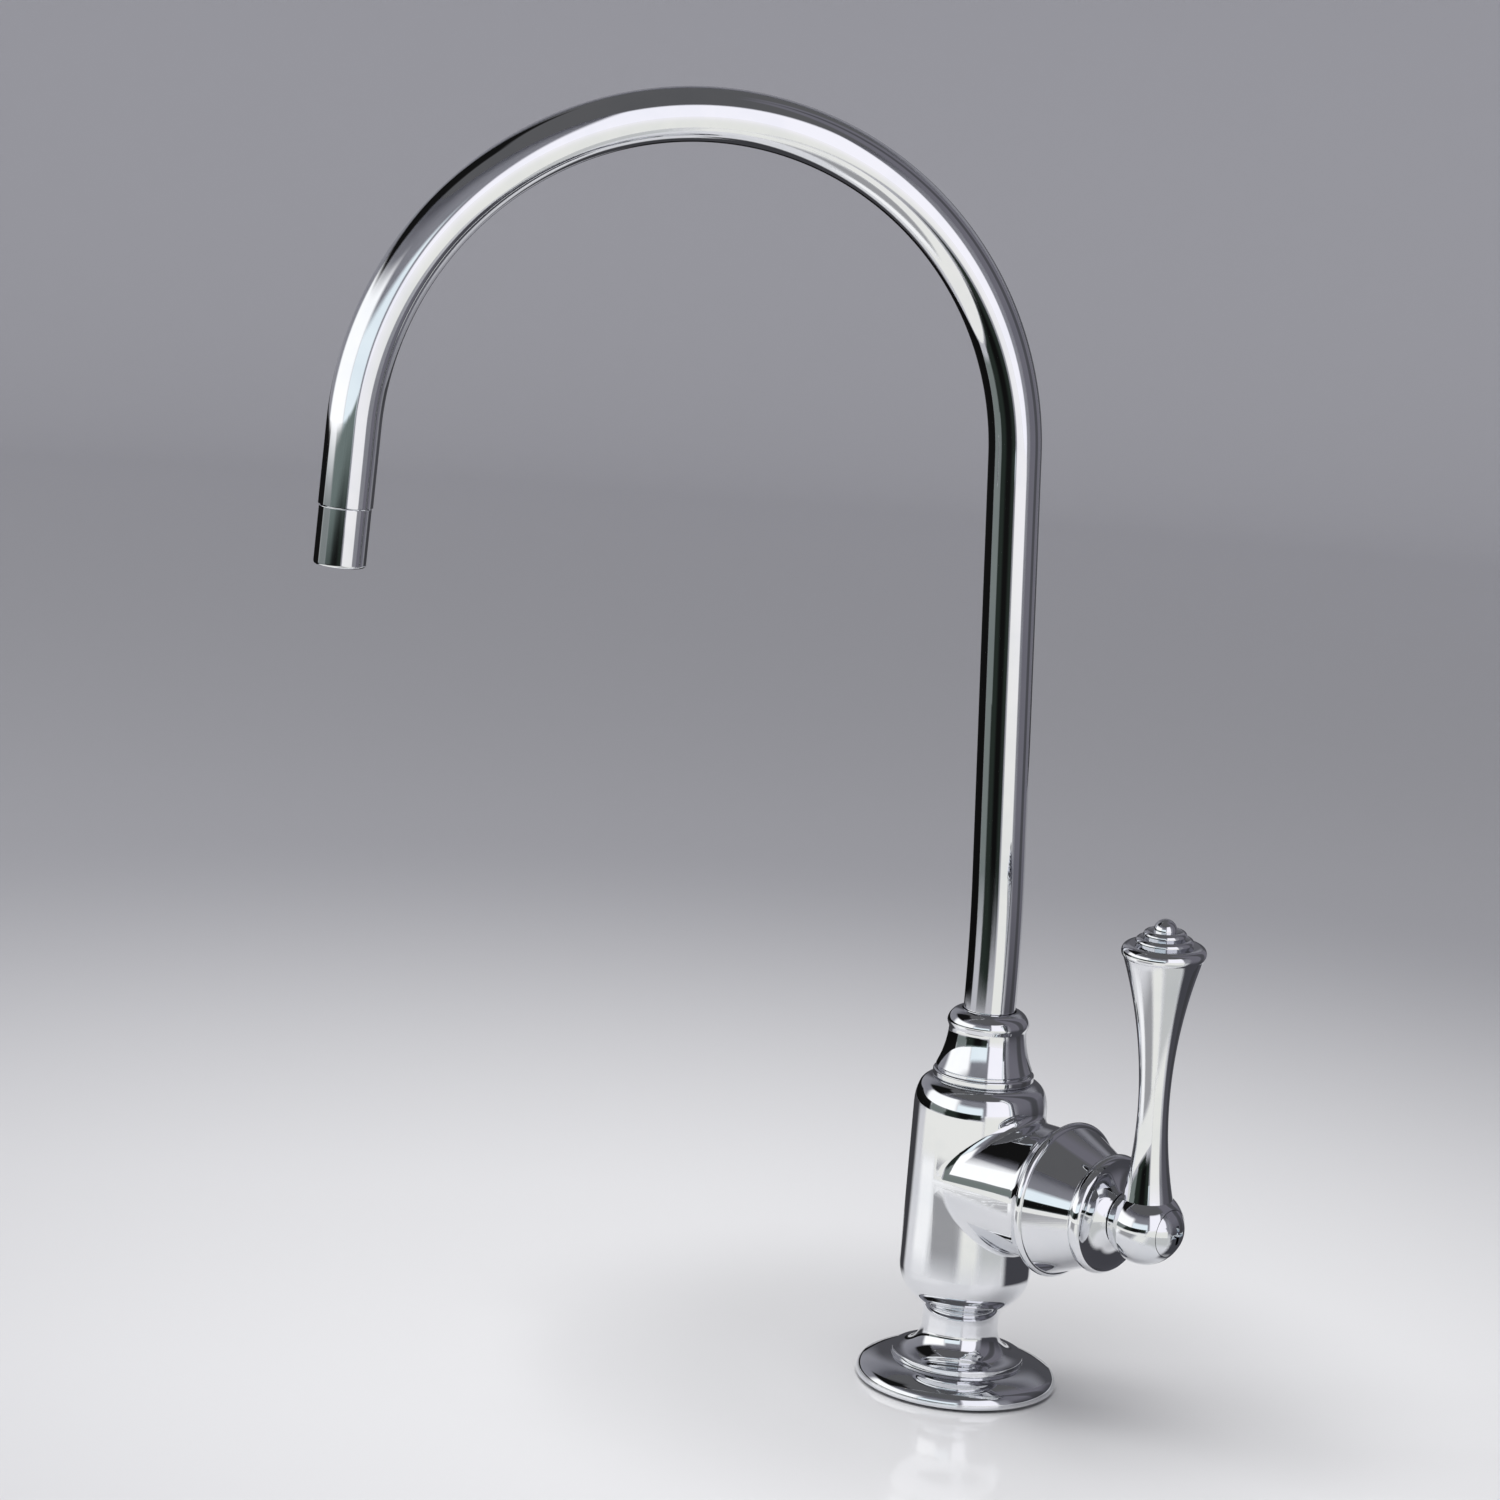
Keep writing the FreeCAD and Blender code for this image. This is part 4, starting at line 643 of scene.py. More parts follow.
def split_along_mitre(shape, wall, height):
    """Cuts the faces of a wall along the two planes where the barrel and the horn meet."""
    for tilt in (1, -1):
        made = bmesh.ops.bisect_plane(shape, geom=parts_of(wall), plane_co=(0, 0, height),
                                      plane_no=(1, 0, -tilt), dist=CUT_SLACK)
        wall = only(bmesh.types.BMFace, made["geom"])
    return wall


def beyond_mitre(place, height):
    """Tells how far a place is on the horn's side of the mitre."""
    return place.x - abs(place.z - height)


class FAUCET_OT_body(Operator):
    """Cast body: barrel and horn of one radius, joined in mitred edges with a small fillet"""
    bl_idname = "faucet.body"
    bl_label = "Body"

    def execute(self, context):
        size = context.scene.faucet_body
        height = size.horn_height
        radius = size.barrel_radius
        centre = radius - size.foot_round
        reach = size.foot_round + size.waist_cove
        out = size.waist_radius + size.waist_cove - centre
        rise = math.sqrt(reach ** 2 - out ** 2)
        share = size.foot_round / reach
        crown_foot = height + radius + size.crown_start
        crown_turn = math.asin((size.barrel_top - size.barrel_top_round - crown_foot)
                               / (size.barrel_crown - size.barrel_top_round))
        crown_in = size.barrel_crown * (1 - math.cos(crown_turn))
        crown_top = crown_foot + size.barrel_crown * math.sin(crown_turn)
        barrel = lathe([
            (0, size.shank_socket_top),
            (size.shank_socket, size.shank_socket_top),
            (size.shank_socket, size.spigot_foot),
            (size.spigot_radius, size.spigot_foot),
            (size.spigot_radius, size.flange_top),
            (size.waist_radius, size.flange_top),
            (size.waist_radius, size.barrel_foot - rise, size.waist_cove, "right"),
            (centre + out * share, size.barrel_foot - rise * share, size.foot_round, "left"),
            (radius, size.barrel_foot),
            (radius, crown_foot, size.barrel_crown, "left"),
            (radius - crown_in, crown_top, size.barrel_top_round, "left"),
            (radius - crown_in - size.barrel_top_round * math.cos(crown_turn), size.barrel_top),
            (size.neck_radius, size.barrel_top),
            (size.neck_radius, size.neck_top - size.neck_lead),
            (size.neck_radius - size.neck_lead, size.neck_top),
            (size.socket_radius, size.neck_top),
            (size.socket_radius, size.socket_floor),
            (0, size.socket_floor),
        ])
        horn = lathe([
            (radius, 0),
            (radius, size.horn_wall_end, size.horn_flare, "right"),
            (size.horn_rim, size.horn_reach, size.horn_rim_round),
            (size.horn_thread, size.horn_reach),
            (size.horn_thread, size.horn_seat),
            (size.chamber_radius, size.horn_seat),
            (size.chamber_radius, size.chamber_floor),
            (0, size.chamber_floor),
        ], place=horn_place(size, azimuth=0))
        for shape, off_axis, side in (
            (barrel, lambda place: math.hypot(place.x, place.y), 1),
            (horn, lambda place: math.hypot(place.y, place.z - height), -1),
        ):
            wall = [face for face in shape.faces
                    if all(abs(off_axis(vert.co) - radius) < WELD for vert in face.verts)
                    and face.calc_center_median().x > 0]
            wall = split_along_mitre(shape, wall, height)
            hidden = [face for face in wall if beyond_mitre(face.calc_center_median(), height) * side > 0]
            bmesh.ops.delete(shape, geom=hidden, context="FACES")
        absorb(barrel, horn)
        weld(barrel)
        clear = size.tee_fillet * FILLET_CLEAR
        crease = [edge for edge in barrel.edges
                  if all(vert.co.x > clear and abs(beyond_mitre(vert.co, height)) < WELD
                         and abs(vert.co.xy.length - radius) < WELD * 2 for vert in edge.verts)]
        bmesh.ops.bevel(barrel, geom=crease, offset=size.tee_fillet, offset_type="OFFSET",
                        segments=FILLET_STEPS, profile=0.5, affect="EDGES", material=-1, clamp_overlap=False)
        barrel.transform(Matrix.Rotation(size.horn_azimuth, 4, "Z"))
        put(barrel, "cast_body", "standing", "body_casting", finish="cast_chrome")
        return {"FINISHED"}


class FAUCET_OT_tail(Operator):
    """Hollow tail with a helical thread, its ends led in, and a seat for the supply tube"""
    bl_idname = "faucet.tail"
    bl_label = "Tail"

    def execute(self, context):
        size = context.scene.faucet_tail
        pitch = size.thread_pitch
        crest = size.tail_radius
        root = crest - size.thread_depth
        shape = bmesh.new()
        trace(shape, [(root, 0), (crest, pitch * CREST_START), (crest, pitch * CREST_END),
                      (root, pitch * ROOT_START), (root, pitch)])
        spin_up(shape, FULL_TURN, THREAD_STEPS, dvec=(0, 0, pitch / THREAD_STEPS), use_merge=False)
        one_turn = everything(shape)
        turns = math.ceil((size.tail_top - size.tail_foot) / pitch) + math.ceil(SPARE_PITCHES)
        for turned in range(1, turns):
            made = bmesh.ops.duplicate(shape, geom=one_turn)["geom"]
            bmesh.ops.translate(shape, verts=only(bmesh.types.BMVert, made), vec=(0, 0, pitch * turned))
        bmesh.ops.translate(shape, verts=shape.verts[:], vec=(0, 0, size.tail_foot - pitch * SPARE_PITCHES))
        bmesh.ops.remove_doubles(shape, verts=shape.verts[:], dist=WELD)
        for height, outwards in ((size.tail_foot, -1), (size.tail_top, 1)):
            bmesh.ops.bisect_plane(shape, geom=everything(shape), plane_co=(0, 0, height),
                                   plane_no=(0, 0, outwards), clear_outer=True)
        for vert in shape.verts:
            inset = min(vert.co.z - size.tail_foot, size.tail_top - vert.co.z)
            allowed = size.tail_radius - size.tail_chamfer + inset
            reach = math.hypot(vert.co.x, vert.co.y)
            if reach > allowed:
                vert.co.x *= allowed / reach
                vert.co.y *= allowed / reach
        bore = lathe([
            (size.inlet_bore, size.tail_foot),
            (size.inlet_bore, size.tail_foot + size.inlet_depth),
            (size.tail_bore, size.tail_foot + size.inlet_depth),
            (size.tail_bore, size.tail_top),
        ], THREAD_STEPS)
        absorb(shape, bore)
        for height in (size.tail_foot, size.tail_top):
            rims = [edge for edge in shape.edges
                    if edge.is_boundary and all(abs(vert.co.z - height) < WELD for vert in edge.verts)]
            bmesh.ops.bridge_loops(shape, edges=rims)
        put(shape, "threaded_tail", "standing", "mounting_shank", "brass")
        return {"FINISHED"}


class FAUCET_OT_collar(Operator):
    """Bell-shaped collar nut with a ring at its foot and a rounded bead round the tube"""
    bl_idname = "faucet.collar"
    bl_label = "Collar"

    def execute(self, context):
        low = context.scene.faucet_body.barrel_top
        size = context.scene.faucet_spout
        ring_top = low + size.collar_ring
        groove = size.collar_groove
        shape = lathe(closed_ring([
            (size.collar_bore, low),
            (size.collar_radius - size.collar_ring_round, low, size.collar_ring_round, "left"),
            (size.collar_radius, low + size.collar_ring_round),
            (size.collar_radius, ring_top - size.collar_ring_round, size.collar_ring_round, "left"),
            (size.collar_radius - size.collar_ring_round, ring_top),
            (size.bell_foot - groove, ring_top),
            (size.bell_foot - groove, ring_top + groove),
            (size.bell_foot, ring_top + groove * 2, size.bell_curve, "right"),
            (size.bell_top, low + size.bell_height),
            (size.bead_radius - groove, low + size.bell_height + groove, size.bead_round, "left"),
            (size.bead_radius, low + size.bead_height, size.bead_round, "left"),
            (size.collar_mouth, low + size.collar_height),
            (size.collar_throat, low + size.collar_height),
            (size.collar_throat, low + size.collar_shoulder),
            (size.collar_bore, low + size.collar_shoulder),
        ]))
        put(shape, "bell_collar", "standing", "spout_collar")
        return {"FINISHED"}


def heading(turned):
    """Gives the direction of the spout's line after it has turned from straight up."""
    return Vector((0, -math.sin(turned), math.cos(turned)))


def outside(turned):
    """Gives the direction from a bend's centre to the line there."""
    return Vector((0, math.cos(turned), math.sin(turned)))


def spout_line(size):
    """Gives the bow's centre, the straight run from the bow to the arch, and the arch's centre."""
    lean = size.bow_angle
    bow_centre = Vector((0, -size.bow_radius, size.bow_start))
    bow_top = bow_centre + outside(lean) * size.bow_radius
    upright = heading(lean) * ((size.arch_spring - bow_top.z) / math.cos(lean))
    return bow_centre, upright, bow_top + upright - outside(lean) * size.arch_radius


def sweep_tube(shape, radius, size):
    """Sweeps a circle up the spout's line, and gives the rims of both ends."""
    ends = bmesh.ops.create_circle(shape, cap_ends=False, segments=TUBE_STEPS, radius=radius,
                                   matrix=Matrix.Translation((0, 0, size.tube_foot)))["verts"]
    first = list({edge for vert in ends for edge in vert.link_edges})
    rim = first

    def run(vector, steps):
        """Extrudes the rim along a straight run."""
        nonlocal rim
        for _ in range(steps):
            made = bmesh.ops.extrude_edge_only(shape, edges=rim)["geom"]
            bmesh.ops.translate(shape, verts=only(bmesh.types.BMVert, made), vec=vector / steps)
            rim = only(bmesh.types.BMEdge, made)

    def bend(centre, sweep, steps):
        """Spins the rim round a centre in the YZ plane."""
        nonlocal rim
        verts = list({vert for edge in rim for vert in edge.verts})
        made = bmesh.ops.spin(shape, geom=verts + rim, cent=centre, axis=(1, 0, 0), angle=sweep, steps=steps)
        rim = only(bmesh.types.BMEdge, made["geom_last"])

    bow_centre, upright, arch_centre = spout_line(size)
    run(Vector((0, 0, size.bow_start - size.tube_foot)), FOOT_STEPS)
    bend(bow_centre, size.bow_angle, BOW_STEPS)
    run(upright, UPRIGHT_STEPS)
    bend(arch_centre, size.arch_sweep, ARCH_STEPS)
    run(heading(size.bow_angle + size.arch_sweep) * size.leg_length, LEG_STEPS)
    return first, rim


class FAUCET_OT_spout(Operator):
    """Gooseneck tube: upright, slight bow, arch and leg, with its bore"""
    bl_idname = "faucet.spout"
    bl_label = "Spout"

    def execute(self, context):
        size = context.scene.faucet_spout
        shape = bmesh.new()
        outside = sweep_tube(shape, size.tube_radius, size)
        inside = sweep_tube(shape, size.tube_radius - size.tube_wall, size)
        for outer, inner in zip(outside, inside):
            bmesh.ops.bridge_loops(shape, edges=outer + inner)
        put(shape, "gooseneck", "spout", "spout_tube")
        return {"FINISHED"}


def leg_end(size):
    """Gives the place of the tube's end, whose Z runs up the leg."""
    turned = size.bow_angle + size.arch_sweep
    arch_centre = spout_line(size)[-1]
    end = arch_centre + outside(turned) * size.arch_radius + heading(turned) * size.leg_length
    return Matrix.Translation(end) @ Matrix.Rotation(turned - HALF_TURN, 4, "X")


class FAUCET_OT_outlet(Operator):
    """Turned sleeve in the tube's end, with a rounded lip and a bore for the straightener"""
    bl_idname = "faucet.outlet"
    bl_label = "Outlet"

    def execute(self, context):
        size = context.scene.faucet_spout
        low = -size.tip_length
        step = low + size.tip_bore_depth + size.tip_mouth_length
        groove = size.tip_spigot - size.tip_groove
        groove_end = size.tip_groove_start + size.tip_groove_width
        shape = lathe(closed_ring([
            (size.tip_mouth, low),
            (size.tip_radius - size.tip_lip, low, size.tip_lip, "left"),
            (size.tip_radius, low + size.tip_lip),
            (size.tip_radius, -size.tip_seam, size.tip_seam_round),
            (size.tip_radius - size.tip_seam, 0),
            (size.tip_spigot, 0),
            (size.tip_spigot, size.tip_groove_start),
            (groove, size.tip_groove_start),
            (groove, groove_end),
            (size.tip_spigot, groove_end),
            (size.tip_spigot, size.tip_spigot_length),
            (size.tip_throat, size.tip_spigot_length),
            (size.tip_throat, step),
            (size.tip_bore, step),
            (size.tip_bore, low + size.tip_mouth_length),
            (size.tip_mouth, low + size.tip_mouth_length),
        ]), TUBE_STEPS, leg_end(size))
        put(shape, "outlet_sleeve", "spout", "outlet_tip")
        return {"FINISHED"}


class FAUCET_OT_trim(Operator):
    """Two trim pieces on the horn: the ringed cone and the coved cap"""
    bl_idname = "faucet.trim"
    bl_label = "Trim"

    def execute(self, context):
        body = context.scene.faucet_body
        size = context.scene.faucet_handle
        back = body.horn_reach
        seam = back + size.bonnet_seam
        front = back + size.bonnet_length
        place = horn_place(body, body.horn_azimuth)
        cone = lathe(closed_ring([
            (size.bonnet_hollow, back),
            (size.bonnet_radius - size.bonnet_seam, back),
            (size.bonnet_radius - size.bonnet_seam, seam),
            (size.bonnet_radius, seam, size.bonnet_ring_round, "left"),
            (size.bonnet_radius, seam + size.bonnet_ring),
            (size.bonnet_cone, seam + size.bonnet_ring),
            (size.bonnet_front, front, size.trim_round),
            (size.trim_bore, front),
            (size.trim_bore, front - size.bonnet_wall),
            (size.bonnet_hollow_front, front - size.bonnet_wall),
        ]), place=place)
        put(cone, "ringed_cone", "standing", "valve_bonnet")
        cap = lathe(closed_ring([
            (size.trim_bore, front),
            (size.cap_back - size.cap_seam, front),
            (size.cap_back, front + size.cap_seam, size.cap_edge, "left"),
            (size.cap_front, front + size.cap_disc, size.cap_cove, "right"),
            (size.cap_neck, front + size.cap_length, size.trim_round),
            (size.cap_bore, front + size.cap_length),
            (size.cap_bore, size.cap_nose),
            (size.trim_bore, size.cap_nose),
        ]), place=place)
        put(cap, "coved_cap", "standing", "bonnet_cap")
        return {"FINISHED"}


def handle_place(context):
    """Gives the handle's place at rest, along the horn."""
    body = context.scene.faucet_body
    lean = Matrix.Rotation(context.scene.faucet_handle.rest_angle, 4, "Z")
    return horn_place(body, body.horn_azimuth) @ lean


def hub_centre(context):
    """Gives the station of the ball's centre."""
    size = context.scene.faucet_handle
    return context.scene.faucet_body.horn_reach + size.bonnet_length + size.cap_length + size.hub_offset


def screw_seat(context):
    """Gives the radius of the screw's seat in the ball, and the station of the seat's rim."""
    size = context.scene.faucet_handle
    radius = size.screw_head + size.screw_fit
    return radius, hub_centre(context) + math.sqrt(size.hub_radius ** 2 - radius ** 2)


def lever_seat(size):
    """Gives the height above the ball's centre of the flat that the lever stands on."""
    return math.sqrt(size.hub_radius ** 2 - size.lever_foot ** 2)


def sink(shape, chosen, offsets, inside, station):
    """Cuts the chosen faces along lines on both axes, and sinks those inside an outline to a station."""
    for across in ((1, 0, 0), (0, 1, 0)):
        for offset in offsets:
            faces = [face for face in shape.faces if chosen(face.calc_center_median())]
            bmesh.ops.bisect_plane(shape, geom=parts_of(faces), plane_co=Vector(across) * offset,
                                   plane_no=across, dist=CUT_SLACK)
    region = []
    for face in shape.faces:
        middle = face.calc_center_median()
        if chosen(middle) and inside(*sorted((abs(middle.x), abs(middle.y)))):
            region.append(face)
    made = bmesh.ops.extrude_face_region(shape, geom=region)["geom"]
    floor = only(bmesh.types.BMVert, made)
    bmesh.ops.delete(shape, geom=region, context="FACES")
    for vert in floor:
        vert.co.z = station
    weld(shape)


class FAUCET_OT_hub(Operator):
    """Ball with a seat for the screw, a square socket and a flat that the lever stands on"""
    bl_idname = "faucet.hub"
    bl_label = "Hub"

    def execute(self, context):
        size = context.scene.faucet_handle
        centre = hub_centre(context)
        radius = size.hub_radius
        back = centre - size.hub_offset + size.hub_gap
        back_radius = math.sqrt(radius ** 2 - (centre - back) ** 2)
        seat_radius, rim = screw_seat(context)
        shape = lathe([
            (0, back),
            (back_radius, back, radius, "left"),
            (radius, centre, radius, "left"),
            (seat_radius, rim, size.screw_seat_round),
            (seat_radius, rim - size.screw_seat),
            (0, rim - size.screw_seat),
        ])
        bmesh.ops.bisect_plane(shape, geom=everything(shape), plane_co=(lever_seat(size), 0, 0),
                               plane_no=(1, 0, 0), clear_outer=True)
        bmesh.ops.holes_fill(shape, edges=[edge for edge in shape.edges if edge.is_boundary])
        half = size.socket_half
        sink(shape, lambda middle: middle.z < back + WELD, (-half, half), lambda near, far: far < half,
             size.socket_end)
        shape.transform(handle_place(context))
        put(shape, "ball_hub", "handle", "handle_hub")
        return {"FINISHED"}


class FAUCET_OT_lever(Operator):
    """Turned lever: foot, waist, flare and the stacked tiers of its end"""
    bl_idname = "faucet.lever"
    bl_label = "Lever"

    def execute(self, context):
        size = context.scene.faucet_handle
        seat = lever_seat(size)
        foot_fall = size.lever_foot - size.lever_waist
        foot_curve = ((size.lever_waist_height - seat) ** 2 + foot_fall ** 2) / (2 * foot_fall)
        flare_rise = size.lever_flare - size.lever_waist
        flare_run = size.lever_flare_height - size.lever_waist_height
        flare_curve = (flare_run ** 2 + flare_rise ** 2) / (2 * flare_rise)
        corners = [
            (0, seat - size.lever_spigot_length),
            (size.lever_spigot, seat - size.lever_spigot_length),
            (size.lever_spigot, seat),
            (size.lever_foot, seat, foot_curve, "right"),
            (size.lever_waist, size.lever_waist_height, flare_curve, "right"),
            (size.lever_flare, size.lever_flare_height, size.lever_ring_round, "left"),
            (size.lever_ring_mouth, size.lever_ring_top),
        ]
        tier = size.lever_ring_top
        for radius in (size.upper_tier, size.top_tier):
            corners += [
                (radius - size.tier_step, tier),
                (radius, tier + size.tier_step, size.tier_round, "left"),
                (radius - size.tier_inset, tier + size.tier_height),
            ]
            tier += size.tier_height
        corners += [(size.lever_dome, tier, size.lever_dome, "left"), (0, tier + size.lever_dome)]
        place = handle_place(context) @ Matrix.Translation((0, 0, hub_centre(context)))
        shape = lathe(corners, place=place @ Matrix.Rotation(QUARTER_TURN, 4, "Y"))
        put(shape, "turned_lever", "handle", "handle_lever")
        return {"FINISHED"}


class FAUCET_OT_screw(Operator):
    """Domed screw with a cross recess, in the outer face of the ball"""
    bl_idname = "faucet.screw"
    bl_label = "Screw"

    def execute(self, context):
        size = context.scene.faucet_handle
        rim = screw_seat(context)[-1]
        seat = rim - size.screw_seat
        dome = (size.screw_head ** 2 + size.screw_dome ** 2) / (2 * size.screw_dome)
        top = rim + size.screw_dome
        shape = lathe([
            (0, seat - size.screw_length),
            (size.screw_shank, seat - size.screw_length),
            (size.screw_shank, seat),
            (size.screw_head, seat),
            (size.screw_head, rim, dome, "left"),
            (0, top),
        ], TUBE_STEPS)
        long, wide = size.recess_half, size.recess_width
        sink(shape, lambda middle: middle.z > rim, (-long, -wide, wide, long),
             lambda near, far: far < long and near < wide, top - size.recess_depth)
        shape.transform(handle_place(context))
        put(shape, "domed_screw", "handle", "handle_screw")
        return {"FINISHED"}


class FAUCET_OT_inner_parts(Operator):
    """Finish of its slot on every piece of the frame"""
    bl_idname = "faucet.inner_parts"
    bl_label = "Inner parts"

    def execute(self, context):
        slots = {part["node"]: part["material_slot"] for part in frame["record"]["subparts"]}
        for name, node in frame["nodes"].items():
            node.data.materials.clear()
            node.data.materials.append(finish_of(slots[name]))
        return {"FINISHED"}


# Stage. Bearings are seen from the faucet, in degrees: 0 is towards the camera, and its right is positive.

CAMERA_SIDE = math.radians(-13.1)
SENSOR_WIDTH = 36.0
CIRCLE = 360
CARD_STEPS = 48
STUDIO_STEPS = 96
# Share of a radial gradient that lies on +X
AHEAD = 0.5
# Outline of the floor and of the backdrop that it runs up into, and a place that they face
STUDIO_OUTLINE = ((0, 0), (1.7, 0, 0.6, "left"), (2.3, 0.6), (2.3, 2.4))
STUDIO_MIDDLE = Vector((0, 0, 1.2))
# Distances from the foot where the floor dims, as a painted fall-off of light, turns to the backdrop and
# loses its shine
PAINTED_FALLOFF_FADE, BACKDROP_FADE, SHINE_FADE = (0.04, 0.6), (0.7, 2.4), (0.13, 0.05)


def away(bearing):
    """Gives the level direction of a bearing."""
    azimuth = CAMERA_SIDE + math.radians(bearing)
    return Vector((math.cos(azimuth), math.sin(azimuth), 0))


# Lamps: name, place, side and brightness
LAMPS = (
    ("overhead_lamp", Vector((0, 0, 2.1)), 1.8, 2.8),
    ("front_lamp", away(-20) * 0.5 + Vector((0, 0, 1.1)), 0.9, 1.9),
    ("side_lamp", away(-95) + Vector((0, 0, 1.1)), 0.6, 3.0),
)

# Tones of the cards, where their blend starts and where it ends
WHITE = ((1.25, 1.25, 1.25),) * 2
COOL_WHITE = ((0.95, 1.05, 1.1),) * 2
LILAC_WHITE = ((1.12, 1.1, 1.17),) * 2
PALE = ((1.1, 1.1, 1.1),) * 2
CREAM = ((0.95, 0.95, 0.9), (1.05, 1.03, 1.05))
LIGHT_GREY = ((0.62, 0.63, 0.62), (0.68, 0.68, 0.68))
GREY = ((0.38, 0.38, 0.39), (0.42, 0.42, 0.43))
TEAL = ((0.2, 0.23, 0.22), (0.25, 0.27, 0.27))
OLIVE = ((0.022, 0.03, 0.025), (0.17, 0.21, 0.2))
# Painted shade of a wall: the first tone, at the wall's foot, is the darker
WALL_SHADE = ((0.06, 0.06, 0.07), (0.17, 0.165, 0.195))
DARK = ((0.05, 0.05, 0.055), (0.08, 0.08, 0.09))
BLACK = ((0.004, 0.004, 0.004), (0.008, 0.008, 0.008))

# Outlines that several mats share, and the range of a blend, in metres
WIDE_MAT = ((0.36, 0.002), (1.5, 0.14))
NEAR_MAT = ((0.09, 0.001), (0.22, 0.002))
MIDDLE_MAT = ((0.19, 0.0015), (0.36, 0.0025))
# The screens' blend is painted shade, darkest over their lowest 12 cm
LONG_BLEND, OLIVE_BLEND, FOOT_SHADE_BLEND = (0, 1), (0.95, 1.25), (0, 0.12)

# Cards: name, bearings of the sides, outline as (radius, height), tones, softness of the sides in degrees,
# softness of the start and of the end in metres, and the range over which the tones blend
SOFTBOXES = (
    ("left_softbox", (-120, -36), ((1.6, -0.02), (1.6, 1.1)), WHITE, 14, (0.02, 0.35), LONG_BLEND),
    ("front_softbox", (-46, 4), ((1.55, -0.02), (1.55, 0.65)), COOL_WHITE, 5, (0.02, 0.2), LONG_BLEND),
    ("right_softbox", (5, 52), ((1.5, -0.02), (1.5, 1.7)), LILAC_WHITE, 5, (0.02, 0.3), LONG_BLEND),
    ("black_flag", (-145, -82), ((1.0, 0.56), (1.0, 1.9)), BLACK, 12, (0.13, 0.3), LONG_BLEND),
)
MATS = (
    ("black_mat", (-180, -94), WIDE_MAT, BLACK, 5, (0.015, 0.15), LONG_BLEND),
    ("teal_mat", (-100, -60), ((0.38, 0.005), (1.5, 0.143)), TEAL, 7, (0.03, 0.3), (0.5, 1.4)),
    ("olive_mat", (-70, -18), ((0.35, 0.002), (1.5, 0.14)), OLIVE, 8, (0.03, 0.15), OLIVE_BLEND),
    ("right_olive_mat", (-30, 2), ((0.365, 0.004), (1.5, 0.14)), OLIVE, 5, (0.08, 0.15), OLIVE_BLEND),
    ("black_stripe", (-48, -8), ((0.36, 0.006), (1.2, 0.12)), BLACK, 14, (0.07, 0.3), LONG_BLEND),
    # Painted shade: a dark mat on the floor behind the faucet, where shade would lie
    ("back_shade_mat", (158, 216), ((0.1, 0.001), (0.46, 0.003)), DARK, 10, (0.05, 0.1), LONG_BLEND),
    ("white_mat", (3, 55), ((0.19, 0.003), (1.45, 0.1)), CREAM, 5, (0.03, 0.1), (0.3, 1.2)),
    ("left_pale_mat", (-112, -62), NEAR_MAT, PALE, 14, (0.03, 0.03), LONG_BLEND),
    ("left_grey_mat", (-80, -8), NEAR_MAT, GREY, 18, (0.03, 0.03), LONG_BLEND),
    ("front_pale_mat", (-22, 20), NEAR_MAT, CREAM, 12, (0.03, 0.03), LONG_BLEND),
    ("right_grey_mat", (8, 70), NEAR_MAT, LIGHT_GREY, 18, (0.03, 0.03), LONG_BLEND),
    ("middle_pale_mat", (-112, 8), MIDDLE_MAT, CREAM, 8, (0.03, 0.005), LONG_BLEND),
    ("back_black_mat", (-166, -122), ((0.05, 0.001), (0.37, 0.003)), DARK, 14, (0.03, 0.01), LONG_BLEND),
)
# The screens stand in for a wall in shade behind the faucet: painted shade, darkest at their foot
SCREENS = (
    ("grey_screen", (56, 142), ((0.06, 0.002), (0.19, 0.02), (0.19, 1.3)), WALL_SHADE, 12, (0.002, 0.5),
     FOOT_SHADE_BLEND),
    ("back_screen", (132, 198), ((0.9, -0.02), (0.9, 0.62)), DARK, 12, (0.002, 0.3), FOOT_SHADE_BLEND),
    ("dark_screen", (90, 116), ((0.185, 0.002), (0.185, 1.1)), DARK, 8, (0.002, 0.4), FOOT_SHADE_BLEND),
)


def distance_on(bench, stretch=(1, 1, 1)):
    """Gives the distance from the origin."""
    return bench.add("ShaderNodeVectorMath", {"operation": "LENGTH"},
                     Vector=bench.place(stretch)).outputs["Value"]


def card_finish(flat, name, bearings, outline, tones, soft_sides, soft_ends, blend):
    """Glow of a card, clear towards its edges. It blends with the height, or with the radius if flat."""
    bench = NodeBench(name)
    first, last = bearings
    middle = CAMERA_SIDE + math.radians(first + last) / 2
    turned = bench.add("ShaderNodeMapping", Vector=bench.place(), Rotation=(0, 0, -middle)).outputs["Vector"]
    bearing = bench.add("ShaderNodeTexGradient", {"gradient_type": "RADIAL"}, Vector=turned).outputs["Fac"]
    if flat:
        along = distance_on(bench, (1, 1, 0))
    else:
        along = bench.add("ShaderNodeSeparateXYZ", Vector=bench.place()).outputs["Z"]
    low, high = (point[0 if flat else 1] for point in (outline[0], outline[-1]))
    half = (last - first) / 2 / CIRCLE
    soft = soft_sides / CIRCLE
    share = bench.window(bearing, AHEAD - half, AHEAD + half, soft, soft)
    share = bench.window(along, low, high, *soft_ends, share)
    glow = bench.add("ShaderNodeEmission", Color=bench.tint(bench.ramp(along, *blend), *tones))
    mix = bench.add("ShaderNodeMixShader", Fac=share)
    bench.feed(mix, 1, bench.add("ShaderNodeBsdfTransparent").outputs["BSDF"])
    bench.feed(mix, 2, glow.outputs["Emission"])
    bench.feed(bench.tree.nodes["Material Output"], "Surface", mix.outputs["Shader"])
    bench.material.cycles.emission_sampling = "NONE"
    return bench.material


